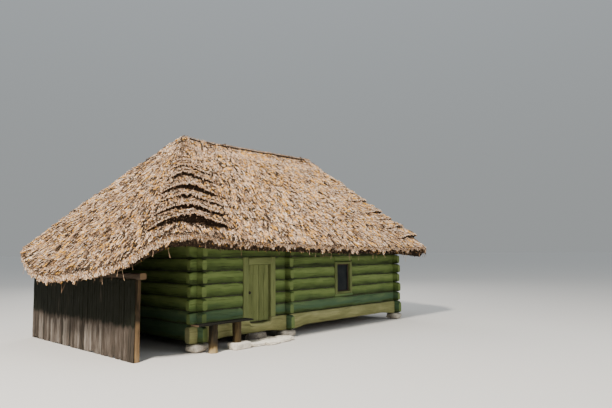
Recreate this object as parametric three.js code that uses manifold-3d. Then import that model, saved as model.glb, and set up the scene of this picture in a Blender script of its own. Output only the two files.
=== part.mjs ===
// Thatched log cottage: log walls on field stones, a plank door, one window, a lean-to, and a
// hipped straw roof with stepped hips. Millimetres, Z up, ground at Z = 0.
// While it is built, X = 0 and Y = 0 are the outer faces of the front left corner of the logs.
import * as THREE from 'three';
import { mergeVertices } from 'three/addons/utils/BufferGeometryUtils.js';
import Module from 'manifold-3d';

const wasm = await Module();
wasm.setup();

// Clearance between touching pieces, and how far cutting blocks reach past what they cut.
const GAP = 0.4;
const BEYOND = 600;

// The log house.
const STONE_HEIGHT = 200;
const HOUSE_LENGTH = 8800;
const HOUSE_DEPTH = 5700;
const LOG_THICKNESS = 180;
const SILL_HEIGHT = 440;
const COURSE_HEIGHT = 333;
const COURSES = 6;
const LOG_END = 230;
const SILL_BULGE = 45;
const SEAM_DEPTH = 26;
const SILL_BOTTOM = STONE_HEIGHT + GAP;
const SILL_TOP = SILL_BOTTOM + SILL_HEIGHT;
const WALL_TOP = SILL_TOP + COURSES * COURSE_HEIGHT;
const TOP_LOG_BOTTOM = WALL_TOP - COURSE_HEIGHT;

// The cross wall between hall and room, with its doorway.
const CROSS_LEFT = 3090;
const CROSS_RIGHT = CROSS_LEFT + LOG_THICKNESS;
const CROSS_DOOR_FRONT = 1500;
const CROSS_DOOR_BACK = 2380;

// The front door.
const DOOR_LEFT = 1698;
const DOOR_WIDTH = 817;
const DOOR_RIGHT = DOOR_LEFT + DOOR_WIDTH;
const DOOR_BOTTOM = SILL_BOTTOM + 342;
const DOOR_TOP = SILL_BOTTOM + 1899;
const DOOR_POST_WIDTH = 195;
const FRAME_PROUD = 12;
const LEAF_SET_BACK = 60;
const LEAF_THICKNESS = 42;
const PLANK_THICKNESS = 28;
const BATTEN_HEIGHT = 110;
const BATTEN_THICKNESS = 20;
const BATTEN_SHORT = 60;
const LOW_BATTEN_UP = 190;
const HIGH_BATTEN_DOWN = 300;
const LEAF_CLEARANCE = 6;
const LEAF_LATCH_CLEARANCE = 9;
const PIVOT_RADIUS = 14;
const PIVOT_PLAY = 0.8;
const PIVOT_DEPTH = 38;
const SOCKET_RADIUS = PIVOT_RADIUS + PIVOT_PLAY;
const KNOB_INNER_RADIUS = 22;
const KNOB_OUTER_RADIUS = 30;
const KNOB_LENGTH = 34;
const KNOB_IN = 75;
const KNOB_HEIGHT = SILL_BOTTOM + 1140;
const STILE_RADIUS = LEAF_THICKNESS / 2;
const PIVOT_X = DOOR_RIGHT - LEAF_CLEARANCE - STILE_RADIUS;
const PIVOT_Y = LEAF_SET_BACK + STILE_RADIUS;

// The window.
const WINDOW_LEFT = 5469;
const WINDOW_RIGHT = 6103;
const WINDOW_BOTTOM = SILL_BOTTOM + 949;
const WINDOW_TOP = SILL_BOTTOM + 1834;
const WINDOW_POST_WIDTH = 120;
const WINDOW_RAIL_HEIGHT = 70;
const WINDOW_PROUD = 14;
const GLASS_SET_BACK = 84;
const GLASS_THICKNESS = 6;

// Floor, ceiling and rafters.
const FLOOR_TOP = SILL_BOTTOM + 312;
const FLOOR_THICKNESS = 45;
const JOIST_HEIGHT = 130;
const BEAM_HEIGHT = 150;
const BEAM_WIDTH = 160;
const BEAM_END = 400;
const BEAM_X = [1600, 4050, 5450, 6750];
const CEILING_THICKNESS = 32;
const RAFTER_DEPTH = 120;
const RAFTER_WIDTH = 110;
const RIGHT_RAFTER_RISE = 1.455;

// The roof.
const EAVE_OVERHANG = 750;
const RIGHT_OVERHANG = 900;
const THATCH_THICKNESS = 265;
const RIDGE_Y = HOUSE_DEPTH / 2;
const RIDGE_LEFT_X = 1450;
const RIDGE_RIGHT_X = 7150;
const RIDGE_INNER_Z = 5590;
const RIDGE_VERTICAL_THICKNESS = 375;
// Straw courses: where up the slope each one starts, and how far it steps out there at the hips.
const COURSE_LINES = [0, 0.105, 0.203, 0.293, 0.37, 0.497, 0.592, 0.667, 0.87];
const COURSE_LEDGES = [140, 280, 180, 140, 210, 155, 110, 70];
const COURSE_STEPS = COURSE_LEDGES.length;
const RIDGE_CAP_START = COURSE_LINES[COURSE_STEPS];
// Away from the hips a course runs lower, and its edge is only the low tufts of its bundles.
const COURSE_DROP = 0.03;
// The steps are deepest on the front left hip and die out on both sides of it; the right hips have low ones.
const LEFT_STEPS_FRONT = 1150;
const LEFT_STEPS_SIDE = 1050;
const RIGHT_STEPS = 1500;
const RIGHT_STEPS_SHARE = 0.6;
const LEDGE_LOW = 8;
const LEDGE_SLANT = 0.008;
const TUFT_HEIGHT = 22;
const TUFT_PITCH = 900;
// The slopes are fuller halfway up, fuller still at the hips, and the right hips have a belly low down.
const FULL_SLOPE = 37;
const FULL_HIP = 53;
const BELLY = 115;
const BELLY_MIDDLE = 0.17;
const BELLY_REACH = 0.13;
// Old straw settles unevenly: two slow waves of this height cross the slopes.
const UNEVEN = 9;
const UNEVEN_WAVES = [310, 240, 270, 350];
const COLUMN_SPACING = 330;
const RIDGE_CAP_RISE = 30;
const RIDGE_HUMP = 75;
const POLE_RADIUS = 28;
const POLE_DOWN = 110;
const POLE_SEAT = 63.4;
const POLES_LEFT = 2950;
const POLES_RIGHT = 6870;
const TIE_RADIUS = 18;
const POLE_TIES = [[POLES_LEFT + 90, 70], [POLES_RIGHT - 60, -50]];

// The lean-to at the left.
const LEANTO_WIDTH = 1740;
const LEANTO_BOARD = 30;
const LEANTO_PLATE_TOP = SILL_BOTTOM + 1800;
const LEANTO_PLATE_HEIGHT = 150;
const LEANTO_POST = 140;
const PLATE_FRONT_END = -250;
const PLATE_BACK_END = HOUSE_DEPTH + 150;
const BOARDS_FRONT = -60;
const BOARDS_BACK = HOUSE_DEPTH + 60;

// The bench.
const SEAT_LEFT = -320;
const SEAT_RIGHT = 1390;
const SEAT_TOP = 728;
const SEAT_THICKNESS = 42;
const SEAT_FRONT = -545;
const BENCH_LEGS = [[115, 325], [860, 1075]];
const BENCH_LEG_FRONT = -490;
const BENCH_LEG_BACK = -280;
const BENCH_STONE_HEIGHT = 165;

const colours = {
  log: 0x7f8069,
  sill: 0x9a937c,
  stone: 0x8d8a82,
  board: 0x7a6f60,
  straw: 0x9d8f78,
  pole: 0x5d5347,
  door: 0x74775c,
  frame: 0x8b8d76,
  iron: 0x3a3632,
  glass: 0x20262a,
};

const group = new THREE.Group();

function add(name, geometry, colour) {
  const material = new THREE.MeshStandardMaterial({ color: colour, roughness: 0.9 });
  const mesh = new THREE.Mesh(geometry, material);
  mesh.name = name;
  group.add(mesh);
  return mesh;
}

function toSolid(geometry) {
  const bare = geometry.clone();
  bare.deleteAttribute('normal');
  bare.deleteAttribute('uv');
  const welded = mergeVertices(bare, 1e-3);
  const mesh = new wasm.Mesh({
    numProp: 3,
    vertProperties: new Float32Array(welded.attributes.position.array),
    triVerts: new Uint32Array(welded.index.array),
  });
  return new wasm.Manifold(mesh);
}

function toGeometry(solid) {
  const mesh = solid.getMesh();
  const geometry = new THREE.BufferGeometry();
  geometry.setAttribute('position', new THREE.BufferAttribute(new Float32Array(mesh.vertProperties), 3));
  geometry.setIndex(new THREE.BufferAttribute(new Uint32Array(mesh.triVerts), 1));
  geometry.computeVertexNormals();
  return geometry;
}

// A box given by its two corners.
function box(x0, x1, y0, y1, z0, z1) {
  const geometry = new THREE.BoxGeometry(x1 - x0, y1 - y0, z1 - z0);
  geometry.translate((x0 + x1) / 2, (y0 + y1) / 2, (z0 + z1) / 2);
  return geometry;
}

// An upright round bar.
function barSolid(x, y, radius, z0, z1) {
  const geometry = new THREE.CylinderGeometry(radius, radius, z1 - z0, 16);
  geometry.rotateX(Math.PI / 2);
  geometry.translate(x, y, (z0 + z1) / 2);
  return toSolid(geometry);
}

function boxSolid(x0, x1, y0, y1, z0, z1) {
  return toSolid(box(x0, x1, y0, y1, z0, z1));
}

function extrude(points, depth) {
  const shape = new THREE.Shape(points.map(([a, b]) => new THREE.Vector2(a, b)));
  return new THREE.ExtrudeGeometry(shape, { depth, bevelEnabled: false });
}

// A section in (Y, Z) drawn out along X, and one in (X, Z) drawn out along Y.
function alongX(points, x0, x1) {
  const geometry = extrude(points, x1 - x0);
  geometry.applyMatrix4(new THREE.Matrix4().set(0, 0, 1, x0, 1, 0, 0, 0, 0, 1, 0, 0, 0, 0, 0, 1));
  return geometry;
}

function alongY(points, y0, y1) {
  const geometry = extrude(points, y1 - y0);
  geometry.applyMatrix4(new THREE.Matrix4().set(1, 0, 0, 0, 0, 0, -1, y1, 0, 1, 0, 0, 0, 0, 0, 1));
  return geometry;
}

// Section of a stack of hewn logs: a shallow seam between logs and a slightly round face.
function logSection(levels, front, back) {
  const side = [];
  for (let i = 0; i < levels.length - 1; i += 1) {
    const low = levels[i];
    const high = levels[i + 1];
    const round = (high - low) * 0.14;
    side.push([SEAM_DEPTH, low], [4, low + round], [0, (low + high) / 2], [4, high - round]);
    side.push([SEAM_DEPTH, high]);
  }
  const seen = side.filter((p, i) => i === 0 || p[1] !== side[i - 1][1]);
  const outer = seen.map(([inset, z]) => [front + inset, z]);
  const inner = seen.map(([inset, z]) => [back - inset, z]).reverse();
  return [...inner.reverse(), ...outer.reverse()];
}

const levels = [SILL_BOTTOM];
for (let i = 0; i <= COURSES; i += 1) {
  levels.push(SILL_TOP + i * COURSE_HEIGHT);
}

function levelsBetween(low, high) {
  const inside = levels.filter((z) => z > low + 30 && z < high - 30);
  return [low, ...inside, high];
}

// Where two log walls cross, walls along X keep the lower half of each log and walls along Y the
// upper half. These are the parts cut away from each.
function upperHalves(x0, x1) {
  const cuts = [];
  for (let i = 0; i < levels.length - 1; i += 1) {
    const middle = (levels[i] + levels[i + 1]) / 2;
    const top = levels[i + 1] + GAP / 2;
    cuts.push(boxSolid(x0 - GAP, x1 + GAP, -BEYOND, HOUSE_DEPTH + BEYOND, middle, top));
  }
  return cuts;
}

function lowerHalves(y0, y1) {
  const cuts = [];
  for (let i = 0; i < levels.length - 1; i += 1) {
    const middle = (levels[i] + levels[i + 1]) / 2;
    const bottom = levels[i] - GAP;
    cuts.push(boxSolid(-BEYOND, HOUSE_LENGTH + BEYOND, y0 - GAP, y1 + GAP, bottom, middle + GAP));
  }
  return cuts;
}

const beamCuts = BEAM_X.map((x) => boxSolid(
  x - BEAM_WIDTH / 2 - GAP, x + BEAM_WIDTH / 2 + GAP,
  -BEYOND, HOUSE_DEPTH + BEYOND,
  WALL_TOP - BEAM_HEIGHT - GAP, WALL_TOP + BEYOND,
));

function minus(solid, cuts) {
  return cuts.reduce((left, cut) => left.subtract(cut), solid);
}

// Log ends stand out unevenly past the corners.
const endTrims = [0, 38, 12, 55, 20, 42, 8];
const trimAlongX = [];
const trimAlongY = [];
endTrims.forEach((trim, i) => {
  const low = levels[i] - (i === 0 ? BEYOND : 0);
  const high = levels[i + 1] + (i === endTrims.length - 1 ? BEYOND : 0);
  const other = endTrims[(i + 3) % endTrims.length];
  const left = -LOG_END + trim;
  const right = HOUSE_LENGTH + LOG_END - other;
  const front = -LOG_END + other;
  const back = HOUSE_DEPTH + LOG_END - trim;
  trimAlongX.push(boxSolid(-BEYOND, left, -BEYOND, HOUSE_DEPTH + BEYOND, low, high));
  trimAlongX.push(boxSolid(right, HOUSE_LENGTH + BEYOND, -BEYOND, HOUSE_DEPTH + BEYOND, low, high));
  trimAlongY.push(boxSolid(-BEYOND, HOUSE_LENGTH + BEYOND, -BEYOND, front, low, high));
  trimAlongY.push(boxSolid(-BEYOND, HOUSE_LENGTH + BEYOND, back, HOUSE_DEPTH + BEYOND, low, high));
});

function wallAlongX(name, x0, x1, low, high, y0, y1, crossings, extra, colour) {
  const section = logSection(levelsBetween(low, high), y0, y1);
  let solid = toSolid(alongX(section, x0, x1));
  for (const [a, b] of crossings) {
    solid = minus(solid, upperHalves(a, b));
  }
  solid = minus(solid, [...extra, ...trimAlongX]);
  return add(name, toGeometry(solid), colour);
}

function wallAlongY(name, x0, x1, low, high, y0, y1, extra, colour) {
  const section = logSection(levelsBetween(low, high), x0, x1);
  let solid = toSolid(alongY(section, y0, y1));
  solid = minus(solid, lowerHalves(-SILL_BULGE, LOG_THICKNESS));
  solid = minus(solid, lowerHalves(HOUSE_DEPTH - LOG_THICKNESS, HOUSE_DEPTH + SILL_BULGE));
  solid = minus(solid, [...extra, ...trimAlongY]);
  return add(name, toGeometry(solid), colour);
}

const leftCrossing = [0, LOG_THICKNESS];
const crossCrossing = [CROSS_LEFT, CROSS_RIGHT];
const rightCrossing = [HOUSE_LENGTH - LOG_THICKNESS, HOUSE_LENGTH];
const allCrossings = [leftCrossing, crossCrossing, rightCrossing];
const wallLeftEnd = -LOG_END;
const wallRightEnd = HOUSE_LENGTH + LOG_END;
const wallFrontEnd = -LOG_END;
const wallBackEnd = HOUSE_DEPTH + LOG_END;

// Field stones under the sills, and the step before the door.
function stone(name, x, y, width, depth, height, skew) {
  const a = width / 2;
  const b = depth / 2;
  const cut = Math.min(a, b) * 0.35;
  const base = [
    [-a, -b + cut], [-a + cut, -b], [a - cut * skew, -b], [a, -b + cut],
    [a, b - cut * skew], [a - cut, b], [-a + cut * skew, b], [-a, b - cut],
  ];
  const lower = extrude(base, height * 0.7);
  const solid = toSolid(lower);
  const top = toSolid(extrude(base.map(([u, v]) => [u * 0.9, v * 0.9]), height));
  const geometry = toGeometry(solid.add(top));
  geometry.translate(x, y, 0);
  add(name, geometry, colours.stone);
}

stone('stone_front_left', 60, 60, 520, 470, STONE_HEIGHT, 0.6);
stone('stone_front_middle', CROSS_LEFT + 90, 70, 560, 430, STONE_HEIGHT, 1.3);
stone('stone_front_right', HOUSE_LENGTH - 70, 60, 500, 460, STONE_HEIGHT, 0.8);
stone('stone_back_left', 70, HOUSE_DEPTH - 60, 520, 450, STONE_HEIGHT, 1.2);
stone('stone_back_middle', CROSS_LEFT + 90, HOUSE_DEPTH - 70, 540, 430, STONE_HEIGHT, 0.7);
stone('stone_back_right', HOUSE_LENGTH - 80, HOUSE_DEPTH - 70, 520, 440, STONE_HEIGHT, 0.9);

// The step stone runs back under the sill and carries it.
const stepSlab = toSolid(extrude([
  [1480, -560], [2050, -690], [2760, -600], [2900, -420], [2800, 90], [1620, 110], [1380, -250],
], 95));
const stepBack = boxSolid(1700, 2300, -30, 130, 0, SILL_BOTTOM + 66 - GAP);
add('door_step', toGeometry(stepSlab.add(stepBack)), colours.stone);

// Sills and log walls.
const doorNotch = boxSolid(DOOR_LEFT, DOOR_RIGHT, -BEYOND, BEYOND, DOOR_BOTTOM, DOOR_BOTTOM + BEYOND);
const socketBottom = DOOR_BOTTOM - PIVOT_DEPTH - GAP;
const pivotSocket = barSolid(PIVOT_X, PIVOT_Y, SOCKET_RADIUS, socketBottom, DOOR_BOTTOM + BEYOND);
const sillBow = toSolid(alongY([
  [420, SILL_BOTTOM - 50], [2880, SILL_BOTTOM - 50], [2840, SILL_BOTTOM + 10], [2300, SILL_BOTTOM + 80],
  [1500, SILL_BOTTOM + 62], [900, SILL_BOTTOM + 50], [460, SILL_BOTTOM + 8],
], -200, 300));
const sillBowRight = toSolid(alongY([
  [3480, SILL_BOTTOM - 50], [8480, SILL_BOTTOM - 50], [8440, SILL_BOTTOM + 8], [7200, SILL_BOTTOM + 60],
  [5200, SILL_BOTTOM + 84], [3900, SILL_BOTTOM + 66], [3520, SILL_BOTTOM + 8],
], -200, 300));
wallAlongX('sill_front', wallLeftEnd, wallRightEnd, SILL_BOTTOM, SILL_TOP, -SILL_BULGE, LOG_THICKNESS,
  allCrossings, [doorNotch, pivotSocket, sillBow, sillBowRight], colours.sill);

const postLeft = DOOR_LEFT - DOOR_POST_WIDTH;
const postRight = DOOR_RIGHT + DOOR_POST_WIDTH;
const frameLeft = WINDOW_LEFT - WINDOW_POST_WIDTH;
const frameRight = WINDOW_RIGHT + WINDOW_POST_WIDTH;
const frameBottom = WINDOW_BOTTOM - WINDOW_RAIL_HEIGHT;
const frameTop = WINDOW_TOP + WINDOW_RAIL_HEIGHT;
const bodyLow = SILL_TOP + GAP;
const bodyHigh = TOP_LOG_BOTTOM - GAP;

wallAlongX('wall_front_left', wallLeftEnd, postLeft - GAP, bodyLow, bodyHigh, 0, LOG_THICKNESS,
  [leftCrossing], [], colours.log);
wallAlongX('wall_front_middle', postRight + GAP, frameLeft - GAP, bodyLow, bodyHigh, 0, LOG_THICKNESS,
  [crossCrossing], [], colours.log);
wallAlongX('wall_front_under_window', frameLeft, frameRight, bodyLow, frameBottom - GAP, 0, LOG_THICKNESS,
  [], [], colours.log);
wallAlongX('wall_front_right', frameRight + GAP, wallRightEnd, bodyLow, bodyHigh, 0, LOG_THICKNESS,
  [rightCrossing], [], colours.log);

const topSection = logSection([TOP_LOG_BOTTOM, WALL_TOP], 0, LOG_THICKNESS);
const topLog = toSolid(alongX(topSection, wallLeftEnd, wallRightEnd));
const overWindow = toSolid(alongX(logSection([frameTop + GAP, TOP_LOG_BOTTOM + 40], 0, LOG_THICKNESS),
  frameLeft, frameRight));
let frontTop = topLog.add(overWindow);
for (const [a, b] of allCrossings) {
  frontTop = minus(frontTop, upperHalves(a, b));
}
frontTop = minus(frontTop, [...beamCuts, ...trimAlongX]);
add('wall_front_top', toGeometry(frontTop), colours.log);

wallAlongX('wall_back', wallLeftEnd, wallRightEnd, SILL_BOTTOM, WALL_TOP,
  HOUSE_DEPTH - LOG_THICKNESS, HOUSE_DEPTH, allCrossings, beamCuts, colours.log);
wallAlongY('wall_left', 0, LOG_THICKNESS, SILL_BOTTOM, WALL_TOP,
  wallFrontEnd, wallBackEnd, [], colours.log);
wallAlongY('wall_right', HOUSE_LENGTH - LOG_THICKNESS, HOUSE_LENGTH, SILL_BOTTOM, WALL_TOP,
  wallFrontEnd, wallBackEnd, [], colours.log);

wallAlongY('sill_cross', CROSS_LEFT, CROSS_RIGHT, SILL_BOTTOM, SILL_TOP,
  wallFrontEnd, wallBackEnd, [], colours.sill);
wallAlongY('wall_cross_front', CROSS_LEFT, CROSS_RIGHT, bodyLow, bodyHigh, wallFrontEnd, CROSS_DOOR_FRONT,
  [], colours.log);
wallAlongY('wall_cross_back', CROSS_LEFT, CROSS_RIGHT, bodyLow, bodyHigh, CROSS_DOOR_BACK, wallBackEnd,
  [], colours.log);
wallAlongY('wall_cross_top', CROSS_LEFT, CROSS_RIGHT, TOP_LOG_BOTTOM, WALL_TOP, wallFrontEnd, wallBackEnd,
  [], colours.log);

// Floors: boards on joists that reach the sills.
function floor(name, x0, x1) {
  const y0 = LOG_THICKNESS + GAP;
  const y1 = HOUSE_DEPTH - LOG_THICKNESS - GAP;
  let solid = boxSolid(x0 + GAP, x1 - GAP, y0, y1, FLOOR_TOP - FLOOR_THICKNESS, FLOOR_TOP);
  const count = Math.max(3, Math.round((x1 - x0) / 1300) + 1);
  for (let i = 0; i < count; i += 1) {
    const x = x0 + 120 + (i * (x1 - x0 - 240)) / (count - 1);
    solid = solid.add(boxSolid(x - 70, x + 70, y0, y1,
      FLOOR_TOP - FLOOR_THICKNESS - JOIST_HEIGHT, FLOOR_TOP - FLOOR_THICKNESS + 5));
  }
  add(name, toGeometry(solid), colours.board);
}

floor('floor_hall', LOG_THICKNESS, CROSS_LEFT);
floor('floor_room', CROSS_RIGHT, HOUSE_LENGTH - LOG_THICKNESS);

// Ceiling beams let into the top logs, with boards over them.
BEAM_X.forEach((x, i) => {
  add(`ceiling_beam_${i + 1}`, box(x - BEAM_WIDTH / 2, x + BEAM_WIDTH / 2,
    -BEAM_END, HOUSE_DEPTH + BEAM_END, WALL_TOP - BEAM_HEIGHT, WALL_TOP), colours.board);
});
add('ceiling_boards', box(20, HOUSE_LENGTH - 20, 20, HOUSE_DEPTH - 20, WALL_TOP + GAP,
  WALL_TOP + GAP + CEILING_THICKNESS), colours.board);

// Door frame, leaf and knob. The leaf turns on wooden pivots let into the sill and the lintel.
add('door_post_left', box(postLeft, DOOR_LEFT, -FRAME_PROUD, LOG_THICKNESS, bodyLow, bodyHigh), colours.frame);
add('door_post_right', box(DOOR_RIGHT, postRight, -FRAME_PROUD, LOG_THICKNESS, bodyLow, bodyHigh), colours.frame);
const lintel = boxSolid(DOOR_LEFT + GAP, DOOR_RIGHT - GAP, -FRAME_PROUD, LOG_THICKNESS, DOOR_TOP, bodyHigh);
const lintelSocket = barSolid(PIVOT_X, PIVOT_Y, SOCKET_RADIUS, DOOR_TOP - BEYOND, DOOR_TOP + PIVOT_DEPTH + 6);
add('door_lintel', toGeometry(lintel.subtract(lintelSocket)), colours.frame);

const leafLeft = DOOR_LEFT + LEAF_LATCH_CLEARANCE;
const leafBack = LEAF_SET_BACK + LEAF_THICKNESS;
const plankBack = LEAF_SET_BACK + PLANK_THICKNESS;
const leafBottom = DOOR_BOTTOM + LEAF_CLEARANCE + 2;
const leafTop = DOOR_TOP - LEAF_CLEARANCE;
const battenLeft = leafLeft + BATTEN_SHORT;
let leaf = boxSolid(leafLeft, PIVOT_X, LEAF_SET_BACK, plankBack, leafBottom, leafTop);
for (const z of [leafBottom + LOW_BATTEN_UP, leafTop - HIGH_BATTEN_DOWN]) {
  leaf = leaf.add(boxSolid(battenLeft, PIVOT_X, leafBack - BATTEN_THICKNESS, leafBack, z, z + BATTEN_HEIGHT));
}
const pivotBottom = DOOR_BOTTOM - PIVOT_DEPTH;
const pivotTop = DOOR_TOP + PIVOT_DEPTH;
leaf = leaf.add(barSolid(PIVOT_X, PIVOT_Y, STILE_RADIUS, leafBottom, leafTop));
leaf = leaf.add(barSolid(PIVOT_X, PIVOT_Y, PIVOT_RADIUS, pivotBottom, pivotTop));
add('door_leaf', toGeometry(leaf), colours.door);

const knob = new THREE.CylinderGeometry(KNOB_INNER_RADIUS, KNOB_OUTER_RADIUS, KNOB_LENGTH, 16);
knob.translate(leafLeft + KNOB_IN, LEAF_SET_BACK - KNOB_LENGTH / 2 - GAP, KNOB_HEIGHT);
add('door_knob', knob, colours.iron);

// Window: a frame of two jamb posts and two rails with a pane behind a rebate.
const casing = boxSolid(frameLeft, frameRight, -WINDOW_PROUD, LOG_THICKNESS, frameBottom, frameTop);
const light = boxSolid(WINDOW_LEFT, WINDOW_RIGHT, -BEYOND, BEYOND, WINDOW_BOTTOM, WINDOW_TOP);
add('window_frame', toGeometry(casing.subtract(light)), colours.frame);
add('window_glass', box(WINDOW_LEFT + GAP, WINDOW_RIGHT - GAP, GLASS_SET_BACK,
  GLASS_SET_BACK + GLASS_THICKNESS, WINDOW_BOTTOM + GAP, WINDOW_TOP - GAP), colours.glass);

// The roof is lofted from the eave's lower edge to the underside of the ridge.
const eaveFront = -EAVE_OVERHANG;
const eaveBack = HOUSE_DEPTH + EAVE_OVERHANG;
const eaveRight = HOUSE_LENGTH + RIGHT_OVERHANG;
const z0 = SILL_BOTTOM;

const frontEave = [
  [-790, eaveFront, z0 + 2400], [-560, eaveFront, z0 + 2375], [-300, eaveFront, z0 + 2345],
  [100, eaveFront, z0 + 2325], [760, eaveFront, z0 + 2305], [1600, eaveFront, z0 + 2280],
  [2460, eaveFront, z0 + 2255], [3830, eaveFront, z0 + 2210], [4940, eaveFront, z0 + 2175],
  [6300, eaveFront, z0 + 2160], [7490, eaveFront, z0 + 2150], [8400, eaveFront, z0 + 2135],
  [9020, eaveFront + 20, z0 + 2105], [9360, eaveFront + 80, z0 + 2060], [9570, eaveFront + 230, z0 + 2020],
];
const leftEave = [
  [-1250, -770, z0 + 2385], [-1700, -700, z0 + 2205], [-2050, -480, z0 + 1960],
  [-2250, -50, z0 + 1800], [-2330, 700, z0 + 1690], [-2330, 1800, z0 + 1600],
  [-2330, 2850, z0 + 1545], [-2310, 3800, z0 + 1640], [-2240, 4600, z0 + 1880],
  [-2070, 5350, z0 + 2090], [-1740, 5950, z0 + 2230], [-1250, 6330, z0 + 2300],
];
const rightEave = [
  [eaveRight - 10, 0, z0 + 2070], [eaveRight, 700, z0 + 2140], [eaveRight, 1700, z0 + 2180],
  [eaveRight, RIDGE_Y, z0 + 2190], [eaveRight, 4000, z0 + 2180], [eaveRight, 5000, z0 + 2150],
  [eaveRight - 10, 5700, z0 + 2110],
];
const backEave = frontEave.map(([x, y, z]) => [x, HOUSE_DEPTH - y, z0 + 2190 + (z - z0 - 2190) * 0.4]);

// Columns run round the eave: front to the right, right end, back to the left, left end forwards.
const columns = [];

// Each column has its distance along the eave from the left hip, on the front and on the side, and from
// the nearest right hip. Ledges are deep at a hip and fade out along the slopes; so does the fullness.
const FAR = 9999;

function fade(distance, reach, power) {
  return Math.max(0, 1 - distance / reach) ** power;
}

function hipShare(alongFront, alongSide, fromRight) {
  const left = Math.max(fade(alongFront, LEFT_STEPS_FRONT, 0.5), fade(alongSide, LEFT_STEPS_SIDE, 0.8));
  return Math.max(left, RIGHT_STEPS_SHARE * fade(fromRight, RIGHT_STEPS, 0.6));
}

function fullShare(distance, reach) {
  return fade(distance, reach, 0.8);
}

function archShare(distance) {
  return Math.max(0, 1 - (distance / 1600) ** 2);
}

function ridgeX(x) {
  const share = (x - frontEave[0][0]) / (frontEave[frontEave.length - 1][0] - frontEave[0][0]);
  return RIDGE_LEFT_X + share * (RIDGE_RIGHT_X - RIDGE_LEFT_X);
}

const frontCount = frontEave.length;
frontEave.forEach(([x, y, z]) => {
  const fromLeft = x - frontEave[0][0];
  const fromRight = frontEave[frontCount - 1][0] - x;
  columns.push({
    eave: [x, y, z],
    ridge: ridgeX(x),
    alongFront: fromLeft,
    alongSide: fromLeft === 0 ? 0 : FAR,
    fromRight,
    full: Math.max(fullShare(fromLeft, 1900), fullShare(fromRight, 1500)),
    arch: Math.max(archShare(fromLeft), archShare(fromRight)),
    belly: fullShare(fromRight, 1500),
  });
});
const frontEnd = columns.length - 1;
rightEave.forEach(([x, y, z]) => {
  const fromCorner = Math.min(y + 500, HOUSE_DEPTH + 500 - y);
  columns.push({
    eave: [x, y, z],
    ridge: RIDGE_RIGHT_X,
    alongFront: FAR,
    alongSide: FAR,
    fromRight: fromCorner,
    full: fullShare(fromCorner, 1500),
    arch: archShare(fromCorner),
    belly: fullShare(fromCorner, 1500),
  });
});
const rightEnd = columns.length;
[...backEave].reverse().forEach(([x, y, z]) => {
  const fromLeft = x - backEave[0][0];
  const fromRight = backEave[frontCount - 1][0] - x;
  columns.push({
    eave: [x, y, z],
    ridge: ridgeX(x),
    alongFront: FAR,
    alongSide: FAR,
    fromRight,
    full: Math.max(fullShare(fromLeft, 1500), fullShare(fromRight, 1500)),
    arch: archShare(fromRight),
    belly: fullShare(fromRight, 1500),
  });
});
const backEnd = columns.length - 1;
[...leftEave].reverse().forEach(([x, y, z]) => {
  const fromFront = Math.hypot(x + 790, y + 750);
  const fromBack = Math.hypot(x + 790, y - eaveBack);
  columns.push({
    eave: [x, y, z],
    ridge: RIDGE_LEFT_X,
    alongFront: FAR,
    alongSide: fromFront,
    fromRight: FAR,
    full: Math.max(fullShare(fromFront, 2300), fullShare(fromBack, 1700)),
    arch: archShare(fromFront),
    belly: 0,
  });
});
const ring = columns.length;

columns.forEach((column, i) => {
  const before = columns[(i + ring - 1) % ring].eave;
  const after = columns[(i + 1) % ring].eave;
  const tangent = new THREE.Vector3(after[0] - before[0], after[1] - before[1], after[2] - before[2]);
  column.low = new THREE.Vector3(...column.eave);
  column.high = new THREE.Vector3(column.ridge, RIDGE_Y, RIDGE_INNER_Z);
  const up = column.high.clone().sub(column.low);
  column.normal = tangent.cross(up).normalize();
  const hump = RIDGE_HUMP * Math.exp(-(((column.ridge - RIDGE_LEFT_X) / 420) ** 2));
  column.top = column.high.clone().add(new THREE.Vector3(0, 0, RIDGE_VERTICAL_THICKNESS + hump));
  column.edge = column.low.clone().addScaledVector(column.normal, THATCH_THICKNESS);
});

// Finer columns between them follow one smooth curve round the outer edge, so that it has no corners.
const edgeCurve = new THREE.CatmullRomCurve3(columns.map((column) => column.edge), true, 'catmullrom', 0.5);
const fine = [];
const fineStart = [];
columns.forEach((column, i) => {
  const next = columns[(i + 1) % ring];
  const steps = Math.ceil(column.edge.distanceTo(next.edge) / COLUMN_SPACING);
  fineStart.push(fine.length);
  for (let step = 0; step < steps; step += 1) {
    const share = step / steps;
    const mix = (key) => column[key] + (next[key] - column[key]) * share;
    fine.push({
      low: column.low.clone().lerp(next.low, share),
      high: column.high.clone().lerp(next.high, share),
      top: column.top.clone().lerp(next.top, share),
      edge: edgeCurve.getPoint((i + share) / ring),
      hip: hipShare(mix('alongFront'), mix('alongSide'), mix('fromRight')),
      full: mix('full'),
      arch: mix('arch'),
      belly: mix('belly'),
    });
  }
});
fineStart.push(fine.length);

function innerPoint(i, v) {
  const column = fine[i % fine.length];
  return column.low.clone().lerp(column.high, v);
}

// Outer face: the steps swell it away from the inner face, and slow waves make it uneven.
function outerPoint(i, v, rise) {
  const column = fine[i % fine.length];
  const base = column.edge.clone().lerp(column.top, v);
  const away = base.clone().sub(innerPoint(i, v)).normalize();
  const arc = Math.sin(Math.PI * v);
  const fullness = arc * (FULL_SLOPE + FULL_HIP * column.full);
  const belly = BELLY * column.belly * Math.exp(-(((v - BELLY_MIDDLE) / BELLY_REACH) ** 2));
  const [a, b, c, d] = UNEVEN_WAVES;
  const uneven = arc * UNEVEN * (Math.sin(base.x / a + base.z / b) + Math.sin(base.y / c - base.z / d));
  return base.addScaledVector(away, fullness + belly + uneven + rise);
}

function courseLine(i, k) {
  if (k === 0 || k === COURSE_STEPS) {
    return COURSE_LINES[k];
  }
  return COURSE_LINES[k] - COURSE_DROP * (1 - fine[i % fine.length].arch);
}

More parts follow.
